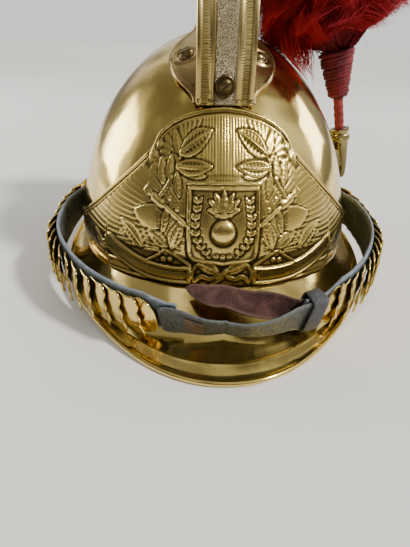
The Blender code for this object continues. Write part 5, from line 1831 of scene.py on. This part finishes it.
    def lay_strap(self, frames: Sequence[StrapFrame], widths: Sequence[float], thickness: float,
                  ripple: float = 0.0) -> Mesh:
        """Lay a flat strap along frames whose feet are its lower edge.

        Args:
            frames: the frames along the strap.
            widths: its width at each.
            thickness: its thickness.
            ripple: how far its face waves.

        Returns:
            The mesh, which carries how near each point is to an edge.
        """
        count = len(frames)
        around = 28
        feet = np.array([frame_[0] for frame_ in frames])
        ups = np.array([frame_[1] for frame_ in frames])
        faces = np.array([frame_[2] for frame_ in frames])
        wide = np.array(widths)

        def section(first: Array, second: Array) -> Array:
            """Give the strap's points."""
            index = np.rint(first * (count - 1)).astype(int)
            high, deep = self.round_section(second, 1.0, thickness)
            wave = ripple * np.sin(index * 0.55) * np.cos(high * 2.2 + index * 0.21)
            level = (high + 0.5) * wide[index]
            return feet[index] + ups[index] * level[:, None] + faces[index] * (deep + wave)[:, None]

        def edge(first: Array, second: Array) -> Array:
            """Give how near the points are to the strap's edges."""
            high, _ = self.round_section(second, 1.0, thickness)
            return unit((np.abs(high) - 0.36) / 0.12)

        return mapped(count - 1, around, section, {"edge": edge}, caps=True)

    def backing(self, side: Side, start: float) -> None:
        """Make the leather under one side's scales."""
        run = self.runs[side]
        end = run.length - self.stem_radius - 2 * self.form.seat_gap
        low = (self.scale_width - self.width) / 2
        free = start if side is Side.RIGHT else self.keeper_start + self.keeper_length
        places = np.array(spread(start, end, 150))
        risen = unit((places - free - self.edge_fade / 4) / self.edge_fade)
        risen *= unit((end - places) / (3 * self.edge_fade))
        frames = []
        for distance in places:
            foot, up, face, forward = run.at(float(distance))
            frames.append((foot + up * low, up, face, forward))
        name = side.name.lower()
        mesh = self.lay_strap(frames, self.width + self.edge_rise * risen, self.thickness)
        self.shop.piece(f"strap_leather_{name}", mesh, self.strap_finish, Slot.LEATHER,
                        [f"strap_{name}"])

    def scale(self, side: Side, name: str, node: str, distance: float, length: float,
              outline: Sequence[Row], lift: float, grooved: bool) -> None:
        """Press one scale: flat where it is fixed, domed and lobed towards its free edge.

        Args:
            side: the side that it is on.
            name: the piece's name.
            node: the CAD node.
            distance: place of its fixed edge along the strap.
            length: its length.
            outline: its free edge.
            lift: how far it stands off, as a share of its length.
            grooved: whether it carries the end plate's engraved line.
        """
        foot, up, face, forward = (np.array(v) for v in self.runs[side].at(distance))
        seat = self.thickness / 2 + self.form.gap

        def points(first: Array, second: Array) -> Array:
            """Give the scale's outer face."""
            across = np.interp(first, (0.0, 1.0), (outline[0][0], outline[-1][0]))
            reach = read_rows(outline, across, 1)
            tip = read_rows(outline, across, 2)
            along = length * reach * second
            rise = self.crown * (1 - (2 * across - 1) ** 2) + lift * along
            rise = rise + 0.0005 * np.sin(np.pi * second) ** 2
            bead = 0.00028 * bell((1 - second) * length, 0.0008)
            cut = np.abs(second * reach - 0.3 - 0.42 * np.abs(2 * across - 1) ** 1.6)
            groove = 0.00022 * bell(cut * length, 0.0006) * grooved
            height = self.scale_width * (across + tip * second)
            off = seat + self.scale_sheet + rise + bead - groove
            return (foot + forward * along[:, None] + up * height[:, None] + face * off[:, None])

        def low(first: Array, second: Array) -> Array:
            """Give the darkening: painted shade where the next scale lies over, tarnish in the engraved
            line.
            """
            # painted shade: darker near the fixed edge, where the scale before lies over it
            under = unit(1 - second * 3.2) * (0.0 if grooved else 1.0)
            across = np.interp(first, (0.0, 1.0), (outline[0][0], outline[-1][0]))
            cut = np.abs(second * read_rows(outline, across, 1) - 0.3
                         - 0.42 * np.abs(2 * across - 1) ** 1.6)
            # tarnish in the end plate's engraved line
            mark = bell(cut * length, 0.0008) * grooved
            return unit(under + mark)

        mesh = mapped(36, 16, points, {"cavity": low}, merge=False)
        with edited(mesh) as solid:
            faces = list(solid.faces)
            outward = Vector(face)
            if sum((item.normal.dot(outward) for item in faces)) < 0:
                bmesh.ops.reverse_faces(solid, faces=faces)
        piece = self.shop.piece(name, mesh, self.scale_finish, Slot.BRASS, [node], 50.0)
        self.shop.solidify(piece, self.scale_sheet)

    def scales(self, side: Side, count: int, front: float) -> None:
        """Make one side's scales and the rounded plate that ends them."""
        run = self.runs[side]
        label = side.name.lower()
        first = run.length - self.boss_radius - self.form.seat_gap
        last = front + self.end_length - self.overlap
        pitch = (first - last) / count
        for i in range(count):
            self.scale(side, f"brass_scale_{label}_{i + 1}", f"scale_{label}_{i + 1}",
                       first - i * pitch, pitch + self.overlap, self.scale_outline, self.lift, False)
        self.scale(side, f"brass_end_{label}", f"end_plate_{label}", front + self.end_length,
                   self.end_length, smooth_rows(self.end_outline, 4), self.end_lift, True)

    def ribbon_frames(self, rows: Sequence[Row], width: float,
                      steps: int = 14) -> Tuple[List[StrapFrame], List[float]]:
        """Work out a ribbon's frames and widths from its rows."""
        frames, widths = [], []
        for distance, shift, rise, lean, part in smooth_rows(rows, steps):
            run = self.runs[Side.LEFT if distance >= 0 else Side.RIGHT]
            foot, up, face, forward = run.at(abs(distance) * self.front_span)
            foot = foot + (face * shift + up * rise) * self.width
            turn = math.radians(lean)
            leant = up * math.cos(turn) + face * math.sin(turn)
            face = face * math.cos(turn) - up * math.sin(turn)
            foot = foot + leant * width * (1 - part) / 2
            frames.append((foot, leant, face, forward))
            widths.append(width * part)
        return frames, widths

    def stitches(self, solid: bmesh.types.BMesh, frames: Sequence[StrapFrame],
                 places: Sequence[Point], off: float, length: float) -> None:
        """Set short raised stitches on a ribbon.

        Args:
            solid: bmesh that they join.
            frames: the ribbon's frames.
            places: share along the frames and height above the foot of each.
            off: distance of the leather's face from its middle plane.
            length: a stitch's length.
        """
        for along, height in places:
            foot, up, face, forward = frames[int(along * (len(frames) - 1))]
            centre = foot + up * height + face * off
            place = axis_frame(centre, face, forward)
            size = Matrix.Diagonal((length, length * 0.3, length * 0.22, 1.0))
            bmesh.ops.create_icosphere(solid, subdivisions=1, radius=0.5, matrix=place @ size)

    def tongue(self) -> None:
        """Make the joining tongue with its stitched patch."""
        frames, widths = self.ribbon_frames(self.tongue_rows, self.width)
        mesh = self.lay_strap(frames, widths, self.tongue_thickness, 0.00012)
        self.shop.piece("strap_tongue_leather", mesh, self.tongue_finish, Slot.LEATHER,
                        ["strap_tongue"])
        low, high = 30, 42
        part = []
        for foot, up, face, forward in frames[low:high]:
            part.append((foot + up * 0.17 * self.width + face * (0.5 * self.tongue_thickness + 0.0003),
                         up, face, forward))
        patch = self.lay_strap(part, [0.64 * self.width] * len(part), 0.0011)
        with edited(patch) as solid:
            for height in (0.08, 0.32, 0.56):
                self.stitches(solid, part, [(0.08 + 0.14 * i, height * self.width) for i in range(7)],
                              0.00062, 0.001)
        self.shop.piece("strap_patch", patch, self.patch_finish, Slot.LEATHER, ["strap_tongue"])

    def tail(self) -> None:
        """Make the free tail, its napped side up."""
        frames, widths = self.ribbon_frames(self.tail_rows, self.tail_width)
        mesh = self.lay_strap(frames, widths, self.tail_thickness, 0.00015)
        self.shop.piece("strap_tail_suede", mesh, self.tail_finish, Slot.BROWN_LEATHER, ["strap_tail"])

    def keeper(self) -> None:
        """Make the loop round the tongue, the strap and the tail."""
        run = self.runs[Side.LEFT]
        low = (self.scale_width - self.width) / 2 - self.form.seat_gap
        high = low + self.width + 2 * self.form.seat_gap
        half = self.thickness / 2
        back = -(half + self.tail_thickness + 3 * self.form.seat_gap)
        front = half + self.tongue_thickness + 3 * self.form.seat_gap
        wall = self.keeper_wall
        middle_up, middle_off = (low + high) / 2, (back + front) / 2
        steps = 14
        frames = [run.at(d) for d in spread(
            self.keeper_start, self.keeper_start + self.keeper_length, steps + 1)]
        feet, ups, faces = (np.array([item[k] for item in frames]) for k in range(3))

        def loop(first: Array, second: Array) -> Array:
            """Give the loop's outer face."""
            index = np.rint(second * steps).astype(int)
            up, off = self.round_section(first, high - low + 2 * wall, front - back + 2 * wall)
            thin = 1 - 0.05 * bell(np.minimum(index, steps - index), 0.8)
            level = middle_up + up * thin
            depth = middle_off + off * thin
            return feet[index] + ups[index] * level[:, None] + faces[index] * depth[:, None]

        def edge(first: Array, second: Array) -> Array:
            """Give how near the points are to the loop's cut edges."""
            return unit((np.abs(second - 0.5) - 0.38) / 0.12)

        mesh = mapped(64, steps, loop, {"edge": edge})
        piece = self.shop.piece(
            "strap_keeper_loop", mesh, self.keeper_finish, Slot.LEATHER, ["strap_keeper"])
        self.shop.solidify(piece, wall)

    def knob(self, side: Side) -> None:
        """Turn the round knob that the strap's end hangs on."""
        seat = Vector(self.form.side(self.boss_angle, self.boss_height, self.form.seat_gap))
        outward = Vector(self.form.normal(np.array(seat)))
        mirror = Vector((side.value, 1, 1))
        under = self.thickness + 4 * self.form.seat_gap
        r, top = self.boss_radius, self.boss_crown
        profile = [(0.0, 0.0), (self.stem_radius, 0.0), (self.stem_radius, under), (r - 0.0006, under),
                   (r, under + 0.0005), (r, under + 0.28 * top), (0.95 * r, under + 0.42 * top),
                   (0.88 * r, under + 0.44 * top), (0.84 * r, under + 0.56 * top)]
        profile += [(0.84 * r * math.cos(a), under + 0.56 * top + 0.44 * top * math.sin(a))
                    for a in spread(0.15, 0.5 * math.pi, 9)[:-1]]
        profile.append((0.0, under + top))
        mesh = turned(profile, 56, axis_frame(seat * mirror, outward * mirror, Vector((0, 0, 1))))
        name = side.name.lower()
        self.shop.piece(f"strap_knob_{name}", mesh, self.boss_finish, Slot.BRASS,
                        [f"strap_boss_{name}"])

    def build(self) -> None:
        """Build every piece of the chin strap."""
        self.backing(Side.RIGHT, self.start_right)
        self.backing(Side.LEFT, self.start_left)
        self.scales(Side.RIGHT, self.scales_right, self.end_right)
        self.scales(Side.LEFT, self.scales_left, self.end_left)
        self.tongue()
        self.tail()
        self.keeper()
        for side in Side:
            self.knob(side)


@dataclass
class Studio:
    """Floor, soft lights, surroundings and camera."""

    floor_size: float = 30.0
    floor_colour: Colour = (0.8, 0.795, 0.78)
    horizon: Colour = (0.98, 0.97, 0.95)
    dim_side: Colour = (0.075, 0.062, 0.045)
    pale_side: Colour = (1.0, 0.99, 0.96)
    room_shapes: float = 1.7
    room_strength: float = 1.0
    camera_place: Place = (-0.0182, -0.3099, 0.1424)
    camera_turn: float = -2.6
    camera_pitch: float = 29.5
    camera_roll: float = 1.6
    sun_place: Place = (1.0, -0.45, 1.05)
    sun_strength: float = 3.9
    sun_angle: float = math.radians(7.0)
    sun_colour: Colour = (1.0, 0.955, 0.89)
    # name, place, size, power, colour
    lights: Tuple[Tuple[str, Place, float, float, Colour], ...] = (
        ("left_panel", (-1.3, 0.6, 0.5), 0.7, 11.0, (1.0, 0.98, 0.94)),
        ("right_panel", (1.35, 0.65, 0.55), 0.6, 7.0, (1.0, 0.98, 0.95)),
    )

    def floor(self, low: float) -> None:
        """Lay the pale floor just under the helmet."""
        solid = bmesh.new()
        bmesh.ops.create_grid(solid, x_segments=1, y_segments=1, size=0.5 * self.floor_size,
                              matrix=Matrix.Translation((0.0, 0.0, low)))
        mesh = to_mesh(solid)
        mesh.name = "floor"
        shader = Shader("pale_floor")
        cloud = shader.noise(1.6, 3.0).step(0.2, 0.8)
        darker = tuple(0.94 * c for c in self.floor_colour)
        colour = shader.blend(cloud, darker, self.floor_colour)
        mesh.materials.append(shader.finish(Base_Color=colour, Roughness=0.62))
        thing = bpy.data.objects.new("floor", mesh)
        bpy.context.scene.collection.objects.link(thing)
        thing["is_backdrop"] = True

    def surroundings(self) -> None:
        """Light the room: pale above and behind, dim in front, with large soft shapes."""
        world = bpy.data.worlds.new("room")
        bpy.context.scene.world = world
        room = RoomShader(world)
        way = room.node("ShaderNodeTexCoord", {}, {}).outputs["Generated"]
        parts = room.node("ShaderNodeSeparateXYZ", {}, {0: way})
        behind, above = Socket(room, parts.outputs["Y"]), Socket(room, parts.outputs["Z"])
        pale = (behind * 0.45 + above * 0.95).step(-0.3, 0.62)
        stretched = room.stretch(way, (1.0, 1.0, 0.45))
        shapes = room.noise(self.room_shapes, 2.0, stretched, 0.6).step(0.45, 0.57)
        colour = room.blend(pale * (shapes * 0.8 + 0.2), self.dim_side, self.pale_side)
        seen = Socket(room, room.node("ShaderNodeLightPath", {}, {}).outputs["Is Camera Ray"])
        room.feed(room.surface.inputs["Color"], room.blend(seen, colour, self.horizon))
        room.feed(room.surface.inputs["Strength"], self.room_strength)

    def sun(self) -> None:
        """Let the main light come from the upper right, the same all over the floor."""
        lamp = bpy.data.lights.new("key", "SUN")
        lamp.energy = self.sun_strength
        lamp.angle = self.sun_angle
        lamp.color = self.sun_colour
        thing = bpy.data.objects.new("key", lamp)
        thing.rotation_euler = (-Vector(self.sun_place)).to_track_quat("-Z", "Y").to_euler()
        bpy.context.scene.collection.objects.link(thing)

    def light(self, name: str, place: Place, size: float, power: float, colour: Colour) -> None:
        """Hang one soft light that looks at the helmet."""
        lamp = bpy.data.lights.new(name, "AREA")
        lamp.size = size
        lamp.energy = power
        lamp.color = colour
        thing = bpy.data.objects.new(name, lamp)
        aim = Vector((0.0, 0.0, 0.09)) - Vector(place)
        thing.location = place
        thing.rotation_euler = aim.to_track_quat("-Z", "Y").to_euler()
        bpy.context.scene.collection.objects.link(thing)

    def camera(self) -> None:
        """Set the camera at the photograph's angle."""
        lens = bpy.data.cameras.new("camera")
        lens.sensor_fit = "AUTO"
        lens.sensor_width = SENSOR
        lens.lens = PHOTO_FOCAL * SENSOR / PHOTO_HEIGHT
        lens.clip_start = 0.01
        lens.dof.use_dof = False
        thing = bpy.data.objects.new("camera", lens)
        turn = (Matrix.Rotation(math.radians(self.camera_turn), 4, "Z")
                @ Matrix.Rotation(math.radians(90.0 - self.camera_pitch), 4, "X")
                @ Matrix.Rotation(math.radians(self.camera_roll), 4, "Z"))
        thing.matrix_world = Matrix.Translation(self.camera_place) @ turn
        bpy.context.scene.collection.objects.link(thing)
        bpy.context.scene.camera = thing

    def build(self, low: float) -> None:
        """Set up everything that isn't the helmet."""
        self.floor(low)
        self.surroundings()
        self.sun()
        for name, place, size, power, colour in self.lights:
            self.light(name, place, size, power, colour)
        self.camera()


def plain(box: Any) -> List[List[float]]:
    """Turn a box into plain lists of numbers."""
    return [[float(value) for value in corner] for corner in box]


def main() -> None:
    """Build the whole scene."""
    form = HelmetForm()
    shop = Workshop()
    Studio().build(float(CAD_BOX[0][2]) - 0.0001)
    for part in (Shell(form, shop), Rim(form, shop), FrontPlate(form, shop), Crest(form, shop),
                 Plume(form, shop), ChinStrap(form, shop)):
        part.build()
        LOG.info("%s built", type(part).__name__)
    {"cad": plain(CAD_BOX), "visual": plain(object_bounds())}


if __name__ == "__main__":
    main()
